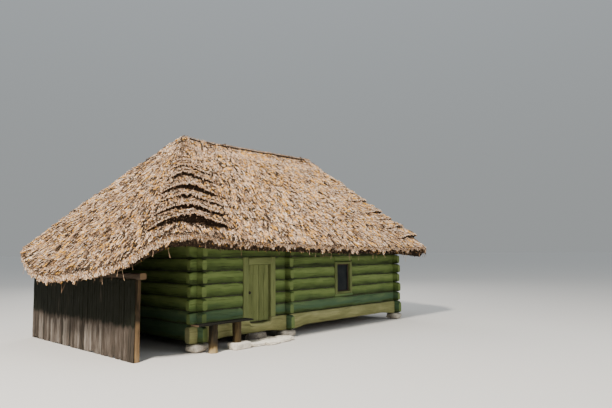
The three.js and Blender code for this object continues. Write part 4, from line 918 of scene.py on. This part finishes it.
outer_high = inner_high + np.stack([flat, flat, RIDGE_THATCH + hump], axis=-1)
print("roof columns", COLUMNS, "front", FRONT_END, "right", RIGHT_END, "back", BACK_END)


# %% A place on the roof
def at(values, u):
    """Column values at any u, changing evenly from one column to the next."""
    column = np.floor(u).astype(int)
    part = u - column if values.ndim == 1 else (u - column)[:, None]
    return values[column % COLUMNS] * (1 - part) + values[(column + 1) % COLUMNS] * part


def hip_at(u):
    """How deep the ledges are at u: 1 on the front left hip, 0.6 on the right ones, and 0 on the slopes."""
    left = np.maximum(fading(at(along_front, u), 1.15, 0.5), fading(at(along_side, u), 1.05, 0.8))
    return np.maximum(left, 0.6 * fading(at(along_right, u), 1.5, 0.6))


def edge_at(u):
    """The outer edge at u, on the smooth cubic curve that passes through every column's edge."""
    column = np.floor(u).astype(int)
    t = (u - column)[:, None]
    a, b, c, d = (outer_low[(column + i) % COLUMNS] for i in (-1, 0, 1, 2))
    return b + 0.5 * t * (c - a + t * (2 * a - 5 * b + 4 * c - d + t * (3 * b - a - 3 * c + d)))


def line_at(u, k):
    """The height v where course k starts: lower away from the hips, but not at the eave and the ridge cap."""
    moves = (k > 0) & (k < TOP_COURSE)
    return COURSE_LINES[k] - np.where(moves, COURSE_DROP * (1 - at(arch, u)), 0.0)


def base_at(u, v):
    v = v[:, None]
    low, high = at(inner_low, u), at(inner_high, u)
    base = edge_at(u) * (1 - v) + at(outer_high, u) * v
    away = base - (low + (high - low) * v)
    return base, away / np.linalg.norm(away, axis=1, keepdims=True)


def ledge_at(u, k):
    """How far course k steps out: deep at the hips, and elsewhere only the soft tufts of its bundles."""
    foot, _ = base_at(u, line_at(u, k))
    tuft = 0.5 + 0.5 * np.sin((foot[:, 0] + foot[:, 1]) * 2 * np.pi / TUFT_PITCH + 2.4 * k)
    return LEDGE_LOW + (LEDGES[np.minimum(k, TOP_COURSE - 1)] - LEDGE_LOW) * hip_at(u) + TUFT_HEIGHT * tuft


def roof(u, v, k):
    """The outer face at (u, v) as course k has it, and the way out of the coat there.

    A course stands out by its ledge at its lower line, sinks to nothing at its upper line, and goes on
    sinking above that, so that a straw which starts there is rooted under the next course."""
    base, away = base_at(u, v)
    low, high = line_at(u, k), line_at(u, np.minimum(k + 1, TOP_COURSE + 1))
    rise = ledge_at(u, k) * (1 - (v - low) / (high - low))
    rise = np.where(k == TOP_COURSE, CAP_RISE * (1 - 0.5 * np.clip((v - 0.95) / 0.05, 0, 1)), rise)
    arc = np.sin(np.pi * np.clip(v, 0, 1))
    swell = arc * (0.037 + 0.053 * at(full, u)) + 0.115 * at(belly, u) * np.exp(-((v - 0.17) / 0.13) ** 2)
    x, y, z = base.T
    uneven = arc * 0.009 * (np.sin(x / 0.31 + z / 0.24) + np.sin(y / 0.27 - z / 0.35))
    return base + away * (swell + uneven + rise)[:, None], away


def course_of(u, v):
    return sum((v >= line_at(u, np.full(len(u), k))).astype(int) for k in range(1, TOP_COURSE + 1))


CELLS_PER_COLUMN, CELLS_UP = 24, 40


def sprinkle(first, last, count, highest=1.0):
    """count random places (u, v) between two columns, evenly spread by area, and the area."""
    grid_u, grid_v = (g.ravel() for g in np.meshgrid(
        first + (np.arange((last - first) * CELLS_PER_COLUMN) + 0.5) / CELLS_PER_COLUMN,
        (np.arange(CELLS_UP) + 0.5) / CELLS_UP * highest, indexing="ij"))
    step_u, step_v = 0.5 / CELLS_PER_COLUMN, 0.5 / CELLS_UP * highest
    a = base_at(grid_u + step_u, grid_v)[0] - base_at(grid_u - step_u, grid_v)[0]
    b = base_at(grid_u, grid_v + step_v)[0] - base_at(grid_u, grid_v - step_v)[0]
    area = np.linalg.norm(np.cross(a, b), axis=1)
    cell = np.searchsorted(np.cumsum(area) / area.sum(), rng.uniform(0, 1, count)).clip(0, len(area) - 1)
    u = grid_u[cell] + rng.uniform(-1, 1, count) * step_u
    v = grid_v[cell] + rng.uniform(-1, 1, count) * step_v
    return u, v, area.sum()


# %% [markdown]
# A straw is the smallest closed shape that reads as one: a triangle at the cut end, and a point at the
# other, which is hidden in the coat. That is four faces, so a roof can carry two hundred thousand of them.
# Straws weather in wisps, so the straws of a wisp share their lie and their tone, and slow waves of tone
# run over the slopes.

# %% Straws
SPLINTER = np.array([(0, 1, 3), (1, 2, 3), (2, 0, 3), (0, 2, 1)])
ROOT_PAINTED_SHADE = 0.30


def slivers(butt, root, radius, tone):
    """Closed splinters from a small triangle at butt to a point at root: four triangles each.

    The tone falls by ROOT_PAINTED_SHADE towards the root, as painted shade deep in the coat."""
    count = len(butt)
    ahead = root - butt
    ahead /= np.linalg.norm(ahead, axis=1, keepdims=True)
    across = np.cross(ahead, np.array([0.13, 0.31, 0.94]))
    across /= np.linalg.norm(across, axis=1, keepdims=True)
    lift = np.cross(ahead, across)
    angle = rng.uniform(0, 2 * np.pi, (count, 1)) + np.arange(3) * 2 * np.pi / 3
    ring = np.cos(angle)[..., None] * across[:, None] + np.sin(angle)[..., None] * lift[:, None]
    corners = butt[:, None] + ring * radius[:, None, None]
    points = np.concatenate([corners, root[:, None]], axis=1).reshape(-1, 3)
    # Painted shade: each straw darkens towards its root, where the straws above would shade it.
    tones = tone[:, None] - ROOT_PAINTED_SHADE * np.array([0, 0, 0, 1])
    return points, repeated(SPLINTER, 4, count), {"tone": np.clip(tones, 0, 1).ravel()}


def straw_piece(name, *groups):
    make_piece("straw_" + name, joined(*groups), straw_material, sharp=None)


slope_length = np.linalg.norm(outer_high - outer_low, axis=1)
column_width = np.linalg.norm(np.roll(outer_low, -1, axis=0) - outer_low, axis=1)


def laid(u, v, course, length, skew, lift, radius, tone, embed=0.02):
    """Straws whose cut ends lie at (u, v) and whose roots go up the slope, turned by skew radians."""
    butt, out = roof(u, v, course)
    top, top_out = roof(u, np.minimum(v + length / at(slope_length, u), 1.02), course)
    ahead = top - butt
    size = np.linalg.norm(ahead, axis=1, keepdims=True)
    sideways = np.cross(out, ahead / np.maximum(size, 1e-6))
    root = top - top_out * embed + sideways * (np.tan(skew) * length)[:, None]
    return slivers(butt + out * lift[:, None], root, radius, tone)


def straw_tones(count, middle, spread, dark, gold):
    """Mostly weathered beige, with a share painted near black as the shade deep between straws, and a share
    of gold.
    """
    tone = np.clip(rng.normal(middle, spread, count), 0.05, 0.89)
    pick = rng.uniform(0, 1, count)
    tone = np.where(pick < dark, rng.uniform(0.02, 0.34, count), tone)
    return np.where(pick > 1 - gold, rng.uniform(0.92, 1.0, count), tone)


def weathering(u, v):
    """Slow waves of tone over the roof: the sum of eight sines with lengths from 0.4 m to 3 m."""
    place, _ = base_at(u, v)
    waves = np.zeros(len(u))
    phases = (0.3, 2.1, 4.4, 1.2, 5.5, 3.1, 0.9, 2.6)
    for length, phase in zip((0.4, 0.5, 0.7, 0.9, 1.2, 1.7, 2.3, 3.0), phases):
        turn = np.array([math.cos(phase * 3), math.sin(phase * 5), math.sin(phase * 2)])
        waves += np.sin(place @ turn * 2 * np.pi / length + phase)
    return waves * 0.018


COAT_TOP, STRAWS_IN_WISP = 0.985, 6


def coat(first, last, density, middle):
    """Wisps of straws over the slope between two columns; middle is the tone of most of them."""
    _, _, area = sprinkle(first, last, 4)
    wisps = int(area * density / STRAWS_IN_WISP)
    u, v, _ = sprinkle(first, last, wisps, COAT_TOP)
    wisp_skew = rng.normal(0, 0.09, wisps)
    wisp_lift = rng.gamma(1.2, 0.010, wisps)
    wisp_tone = rng.normal(0, 0.22, wisps) + weathering(u, v)
    kind = rng.uniform(0, 1, wisps)
    # Painted shade: about one wisp in eight is made much darker, for the shadow between wisps.
    wisp_tone = np.where(kind < 0.13, rng.uniform(-0.60, -0.35, wisps), wisp_tone)
    wisp_tone = np.where(kind > 0.975, 0.26, wisp_tone)
    pick = np.repeat(np.arange(wisps), STRAWS_IN_WISP)
    count = len(pick)
    broken = rng.uniform(0, 1, count) < 0.28
    width = np.maximum((1.0 - v[pick] * 0.85) * at(column_width, u[pick]), 0.06)
    su = np.clip(u[pick] + rng.normal(0, 0.018, count) / width, first + 0.001, last - 0.001)
    sv = np.clip(v[pick] + rng.normal(0, 0.008, count), -0.004, COAT_TOP)
    lift = wisp_lift[pick] + rng.uniform(-0.005, 0.009, count)
    length = np.where(broken, rng.uniform(0.05, 0.13, count), rng.uniform(0.18, 0.46, count))
    skew = np.where(broken, rng.uniform(-0.9, 0.9, count), wisp_skew[pick] + rng.normal(0, 0.06, count))
    tone = straw_tones(count, middle + 0.03, 0.20, 0.11, 0.06) + wisp_tone[pick]
    tone = np.where(broken, straw_tones(count, middle + 0.12, 0.22, 0.26, 0.14), tone)
    course = course_of(su, sv)
    # Painted shade: at the hips, straws just under the next ledge are darkened, as the ledge's shadow would
    # darken them.
    below_lip = (line_at(su, np.minimum(course + 1, TOP_COURSE)) - sv) * at(slope_length, su)
    tone = tone - 0.75 * hip_at(su) * np.exp(-below_lip / 0.09) * (course < TOP_COURSE)
    return laid(su, sv, course, length, skew, lift + broken * 0.008, rng.uniform(0.006, 0.012, count), tone)


# %% [markdown]
# Every course ends in a ragged skirt of cut ends. Where the ledge is deep, at the hips, the ends under the
# skirt are painted nearly black as the shade under the ledge, which draws the dark arcs that mark such a
# roof.

# %% Skirts of the courses
PLACES_ALONG = 400


def along_line(first, last, k, weigh):
    """Random places along course line k, as many per metre as weigh gives for the hip share there."""
    span = (last - first) * PLACES_ALONG
    u = first + (np.arange(span) + 0.5) / PLACES_ALONG
    here, _ = roof(u, line_at(u, np.full(span, k)), np.full(span, k))
    weight = np.linalg.norm(np.gradient(here, axis=0), axis=1) * weigh(hip_at(u))
    count = int(weight.sum())
    pick = np.searchsorted(np.cumsum(weight) / weight.sum(), rng.uniform(0, 1, count)).clip(0, span - 1)
    return np.clip(u[pick] + rng.uniform(-0.5, 0.5, count) / PLACES_ALONG, first + 0.001, last - 0.001)


def tufts(u, pitch):
    """Numbers from 0 to 1 that swell and fade along the eave like loose tufts, about one per pitch metres."""
    metres = np.cumsum(np.r_[0.0, column_width])
    place = np.interp(u, np.arange(COLUMNS + 1), metres) * 2 * np.pi / pitch
    return 0.5 + 0.5 * np.sin(place + 1.7 * np.sin(place * 0.37)) * np.sin(place * 0.61 + 2.0)


def skirt(first, last, k):
    """Light straws that hang over the lower line of course k, longest in loose tufts at the hips."""
    plain = 260 if k == TOP_COURSE else 30
    u = along_line(first, last, k, lambda share: plain + 330 * share)
    count, strength, course = len(u), hip_at(u), np.full(len(u), k)
    loose = tufts(u, 0.21) * (0.4 + 0.6 * tufts(u, 0.09)) * strength
    hang = rng.uniform(-0.02, 0.02, count) + 0.21 * loose * rng.uniform(0, 1, count) ** 1.6
    hang += (k == TOP_COURSE) * rng.uniform(-0.15, 0.15, count)
    v = line_at(u, course) - hang * 0.75 / at(slope_length, u)
    length, skew = rng.uniform(0.16, 0.34, count), rng.normal(0, 0.14, count)
    lift = rng.uniform(-0.012, 0.014, count) - 0.6 * np.maximum(hang, 0) * strength
    radius = rng.uniform(0.007, 0.012, count)
    return laid(u, v, course, length, skew, lift, radius, straw_tones(count, 0.72, 0.17, 0.10, 0.07))


def painted_shade_ends(first, last, k):
    """Ends painted nearly black as shade under the skirt of course k, over the depth of its ledge."""
    u = along_line(first, last, k, lambda share: 900 * share ** 1.2 * (0.4 + 3 * LEDGES[k]))
    count, course = len(u), np.full(len(u), k)
    deep = rng.uniform(0.03, 1, count)
    pale = rng.uniform(0, 1, count) < 0.06
    tone = np.where(pale, rng.uniform(0.3, 0.7, count), rng.uniform(0.0, 0.13, count))
    v = line_at(u, course) + rng.uniform(-0.001, 0.005, count)
    length, skew = rng.uniform(0.12, 0.22, count), rng.normal(0, 0.25, count)
    radius = rng.uniform(0.008, 0.014, count)
    return laid(u, v, course, length, skew, -ledge_at(u, course) * deep, radius, tone)


def skirts(first, last):
    groups = []
    for k in range(1, TOP_COURSE + 1):
        groups.append(skirt(first, last, k))
        if k < TOP_COURSE:
            groups.append(painted_shade_ends(first, last, k))
    return joined(*groups)


# %% [markdown]
# At the eave the coat is cut off square. Light straws hang over the cut as a ragged fringe, and under them
# the cut ends fill the thickness of the coat, painted dark as the shade under the fringe and lighter towards
# the outer edge, with a few golden ones that the rain can't reach.

# %% Eave
PLACES_ROUND = 200


def eave_places(count):
    """Random places u round the whole eave, evenly spread by length."""
    u = (np.arange(COLUMNS * PLACES_ROUND) + 0.5) / PLACES_ROUND
    here, _ = roof(u, np.zeros(len(u)), np.zeros(len(u), int))
    metres = np.linalg.norm(np.gradient(here, axis=0), axis=1)
    pick = np.searchsorted(np.cumsum(metres) / metres.sum(), rng.uniform(0, 1, count)).clip(0, len(u) - 1)
    return u[pick] + rng.uniform(-0.5, 0.5, count) / PLACES_ROUND


def fringe(count):
    """Straws whose ends hang straight down from the edge by drop, more in tufts and along the left end."""
    u = eave_places(count)
    left = np.clip((u - BACK_END - 2.0) / 2.0, 0, 1)
    most = 0.05 + 0.14 * left + (0.29 - 0.15 * left) * tufts(u, 0.55) ** 1.4 * (0.35 + 0.65 * tufts(u, 0.17))
    drop = most * rng.uniform(0, 1, count) ** 0.8 + rng.uniform(-0.02, 0.02, count)
    up = at(outer_high, u) - edge_at(u)
    fall = up[:, 2] / np.linalg.norm(up, axis=1)
    inward = np.sqrt(1 - fall ** 2)
    v = -drop * fall / at(slope_length, u)
    length, skew = rng.uniform(0.16, 0.42, count), rng.normal(0, 0.20, count)
    lift = rng.uniform(-0.03, 0.008, count) - np.maximum(drop, 0) * inward
    radius, tone = rng.uniform(0.006, 0.011, count), straw_tones(count, 0.70, 0.20, 0.22, 0.10)
    return laid(u, v, np.zeros(count, int), length, skew, lift, radius, tone, 0.012)


def cut_ends(count):
    """Ends that fill the thickness of the coat at the eave: painted shade, dark inside and lighter near the
    outside, a few golden.
    """
    u = eave_places(count)
    flat = np.zeros(count, int)
    low, (high, out) = at(inner_low, u), roof(u, np.zeros(count), flat)
    up = at(outer_high, u) - edge_at(u)
    up /= np.linalg.norm(up, axis=1, keepdims=True)
    deep = rng.uniform(0, 1, count)[:, None]
    place = low + (high - low) * deep
    side = np.cross(out, up)
    butt = place - up * rng.uniform(-0.02, 0.05, count)[:, None] + side * rng.normal(0, 0.02, count)[:, None]
    root = place + up * rng.uniform(0.10, 0.22, count)[:, None] + side * rng.normal(0, 0.03, count)[:, None]
    bright = rng.uniform(0, 1, count)
    # Painted shade: the ends are near black deep in the cut and lighter towards the outer edge.
    tone = np.clip(0.02 + 0.34 * deep[:, 0] ** 5 + rng.uniform(-0.05, 0.09, count), 0, 1)
    tone = np.where(bright > 0.90, rng.uniform(0.40, 0.75, count), tone)
    tone = np.where(bright > 0.965, rng.uniform(0.92, 1.0, count), tone)
    return slivers(butt, root, rng.uniform(0.006, 0.011, count), tone)


def strands(count):
    """Loose straws that have slipped and hang from the eave, most of them short."""
    u = eave_places(count)
    place, out = roof(u, np.full(count, 0.004), np.zeros(count, int))
    drop = 0.10 + rng.gamma(1.4, 0.07, count).clip(0, 0.36)
    sway = rng.normal(0, 0.18, (2, count)).clip(-0.3, 0.3) * drop
    butt = place + np.stack([*sway, -drop], axis=-1) - out * 0.05
    return slivers(butt, place - out * 0.06, rng.uniform(0.003, 0.006, count), rng.uniform(0.2, 0.7, count))


# %% Lay the coat
MIDDLE_COLUMN = 7
for name, first, last, density, middle in (
        ("front_left", 0, MIDDLE_COLUMN, 1060, 0.74), ("front_right", MIDDLE_COLUMN, FRONT_END, 1060, 0.74),
        ("right_end", FRONT_END, RIGHT_END, 1000, 0.72), ("back", RIGHT_END, BACK_END, 820, 0.72),
        ("left_end", BACK_END, COLUMNS, 1060, 0.62)):
    straw_piece(name, coat(first, last, density, middle), skirts(first, last))
straw_piece("eave", fringe(28000), cut_ends(17000), strands(420))

# %% [markdown]
# ## The ridge
# Straw is bent over the crest and held down by a crooked pole on each side, with short sticks across
# them at both ends. Bright tufts stand up between the poles. A few loose sticks lie at the left end.

# %% Ridge straws
def crest_line(x):
    return RIDGE_LOW + RIDGE_THATCH + CAP_RISE / 2 + RIDGE_HUMP * np.exp(-((x - RIDGE_LEFT) / 0.42) ** 2)


count = 7600
x = rng.uniform(RIDGE_LEFT, RIDGE_RIGHT + 0.08, count)
side = rng.choice([-1.0, 1.0], count)
far = np.where(rng.uniform(0, 1, count) < 0.35, rng.uniform(0.0, 0.08, count), rng.uniform(0.08, 0.44, count))
clump = 0.5 + 0.5 * np.sin(x * 9.0 + 2.0 * np.sin(x * 4.1)) * np.sin(x * 23.0)
raise_by = rng.uniform(0.0, 0.040, count) + np.where(far < 0.08, 0.055 * clump * rng.uniform(0, 1, count), 0)
raise_by *= np.clip((x - RIDGE_LEFT) / 0.6, 0.1, 1)
butt = np.stack([x + rng.normal(0, 0.06, count), RIDGE_Y + side * far, crest_line(x) - far * 0.90 + raise_by],
                axis=-1)
root = np.stack([x, RIDGE_Y - side * rng.uniform(0.02, 0.16, count),
                 crest_line(x) - 0.12 * rng.uniform(0, 1, count)], axis=-1)
radius, tone = rng.uniform(0.006, 0.010, count), straw_tones(count, 0.70, 0.17, 0.12, 0.05)
straw_piece("ridge", slivers(butt, root, radius, tone))

# %% Ridge poles and sticks
RIDGE_TOP, POLE_OFF, ROOF_FALL = RIDGE_LOW + RIDGE_THATCH, 0.11, 0.8862
POLE_Z, CROWN = RIDGE_TOP - POLE_OFF * ROOF_FALL + 0.0634, RIDGE_TOP + 0.0834
POLE_Y = [RIDGE_Y + s * POLE_OFF for s in (-1, 1)]
poles = timbers([(2.95, y, POLE_Z) for y in POLE_Y], [(6.87, y, POLE_Z) for y in POLE_Y], 0.058, 0.058,
                rounded(10, 2), 40, bend=0.012, swell=0.10, rough=0.001, waves=4.0, tones=[0.25, 0.3])
tie_ends = [(x + turn, skew, s) for x, skew in ((3.04, 0.07), (6.81, -0.05))
            for turn, s in ((0, -1), (skew, 1))]
ties = timbers([(x, RIDGE_Y + s * 0.26, POLE_Z - 0.11) for x, skew, s in tie_ends],
               [((x + skew) if s < 0 else x, RIDGE_Y - s * 0.04, CROWN) for x, skew, s in tie_ends],
               0.037, 0.037, rounded(8, 2), 8, bend=0.003, swell=0.08, rough=0.001, tones=0.2)
stubs = timbers([(1.62, 2.72, 5.99), (1.98, 2.60, 5.86), (2.25, 2.70, 5.96), (2.62, 2.60, 5.885)],
                [(1.98, 2.62, 5.92), (1.75, 2.25, 5.60), (2.55, 2.62, 5.905), (2.95, 2.74, 5.975)],
                0.045, 0.045, rounded(8, 2), 8, bend=0.006, swell=0.10, rough=0.001,
                tones=[0.1, 0.3, 0.45, 0.2])
make_piece("ridge_sticks", joined(poles, ties), dark_wood, ("ridge_poles",))
make_piece("loose_sticks", stubs, dark_wood)

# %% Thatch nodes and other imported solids
for material, nodes in (
        (coat_material, [f"thatch_{side}" for side in ("front", "back", "left_end", "right_end", "ridge")]),
        (glass_material, ("window_glass",)), (floor_wood, ("floor_hall", "floor_room")),
        (ceiling_wood, ("ceiling_boards",)), (beam_x, ("rafter_left_end", "rafter_right_end")),
        (beam_y, [f"rafter_pair_{i + 1}" for i in range(4)])):
    for node in nodes:
        node_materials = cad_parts[node].data.materials
        node_materials.clear()
        node_materials.append(material)
    print(material.name, "on", *nodes)

# %% [markdown]
# ## Floor, light and camera
# A pale floor and soft lights, as in a studio. The air is brighter overhead than at the horizon: an even
# floor of colour a under air that goes from H at the horizon to Z overhead, as the square of the sine of
# the height, looks as bright as a (H + Z) / 2, so H = Z a / (2 - a) hides the line where they meet. The
# camera stands where the photograph was taken.

# %% Studio
FLOOR_SIZE, FLOOR_Z = 400.0, -0.002
FLOOR_COLOUR, ZENITH, AIR_STRENGTH = (0.66, 0.63, 0.59), (0.80, 0.90, 1.0), 0.85
corners = [(x * FLOOR_SIZE, y * FLOOR_SIZE, FLOOR_Z) for x, y in ((-1, -1), (1, -1), (1, 1), (-1, 1))]
floor_mesh = bpy.data.meshes.new("studio_floor")
floor_mesh.from_pydata(corners, [], [(0, 1, 2, 3)])
floor_mesh.materials.append(Tree("studio_floor").finish(FLOOR_COLOUR, 0.9))
studio_floor = bpy.data.objects.new("studio_floor", floor_mesh)
bpy.context.scene.collection.objects.link(studio_floor)

horizon = [z * a / (2 - a) for z, a in zip(ZENITH, FLOOR_COLOUR)]
sky = Tree("studio_air", bpy.data.worlds.new("studio_air"), "Background")
height = sky.axis(2)
sky.put(sky.surface.inputs["Color"], sky.blend(height * height, horizon, ZENITH))
sky.put(sky.surface.inputs["Strength"], AIR_STRENGTH)
bpy.context.scene.world = sky.owner


def stand(name, data, place, across, above, ahead):
    """A lamp or camera at place that looks along ahead, with across to its right and above over it."""
    item = bpy.data.objects.new(name, data)
    rows = np.stack([across, above, -ahead, place], axis=1)
    item.matrix_world = Matrix([*rows.tolist(), [0, 0, 0, 1]])
    bpy.context.scene.collection.objects.link(item)
    return item


def soft_light(name, place, target, size, power, colour):
    light = bpy.data.lights.new(name, "AREA")
    light.size = size
    light.energy = power
    light.color = colour
    ahead = np.subtract(target, place) / np.linalg.norm(np.subtract(target, place))
    across = np.cross(ahead, (0, 0, 1))
    across /= np.linalg.norm(across)
    stand(name, light, place, across, np.cross(across, ahead), ahead)


soft_light("key", (-16.8, -9.0, 20.5), (0.0, 0.0, 2.3), 2.4, 13000, (1.0, 0.95, 0.87))
soft_light("fill", (3.0, -20.0, 7.0), (0.0, 0.0, 2.0), 9.0, 900, (0.96, 0.98, 1.0))
soft_light("rear", (12.0, 15.0, 13.0), (0.0, 0.0, 2.0), 8.0, 1700, (1.0, 0.98, 0.95))

# %% Camera
EYE = np.array([-8.106, -11.312, 2.475]) + CORNER
YAW, PITCH, ROLL = math.radians(46.955), math.radians(4.926), math.radians(-0.454)
FOCAL_PIXELS, PHOTO_WIDTH, SENSOR = 542.106, 612.0, 36.0
ahead = np.array([math.sin(YAW) * math.cos(PITCH), math.cos(YAW) * math.cos(PITCH), math.sin(PITCH)])
sideways = np.array([math.cos(YAW), -math.sin(YAW), 0.0])
upwards = np.cross(sideways, ahead)
right = sideways * math.cos(ROLL) + upwards * math.sin(ROLL)
above = -sideways * math.sin(ROLL) + upwards * math.cos(ROLL)
lens = bpy.data.cameras.new("view")
lens.sensor_width = SENSOR
lens.lens = FOCAL_PIXELS * SENSOR / PHOTO_WIDTH
lens.clip_end = 1000.0
bpy.context.scene.camera = stand("view", lens, EYE, right, above, ahead)
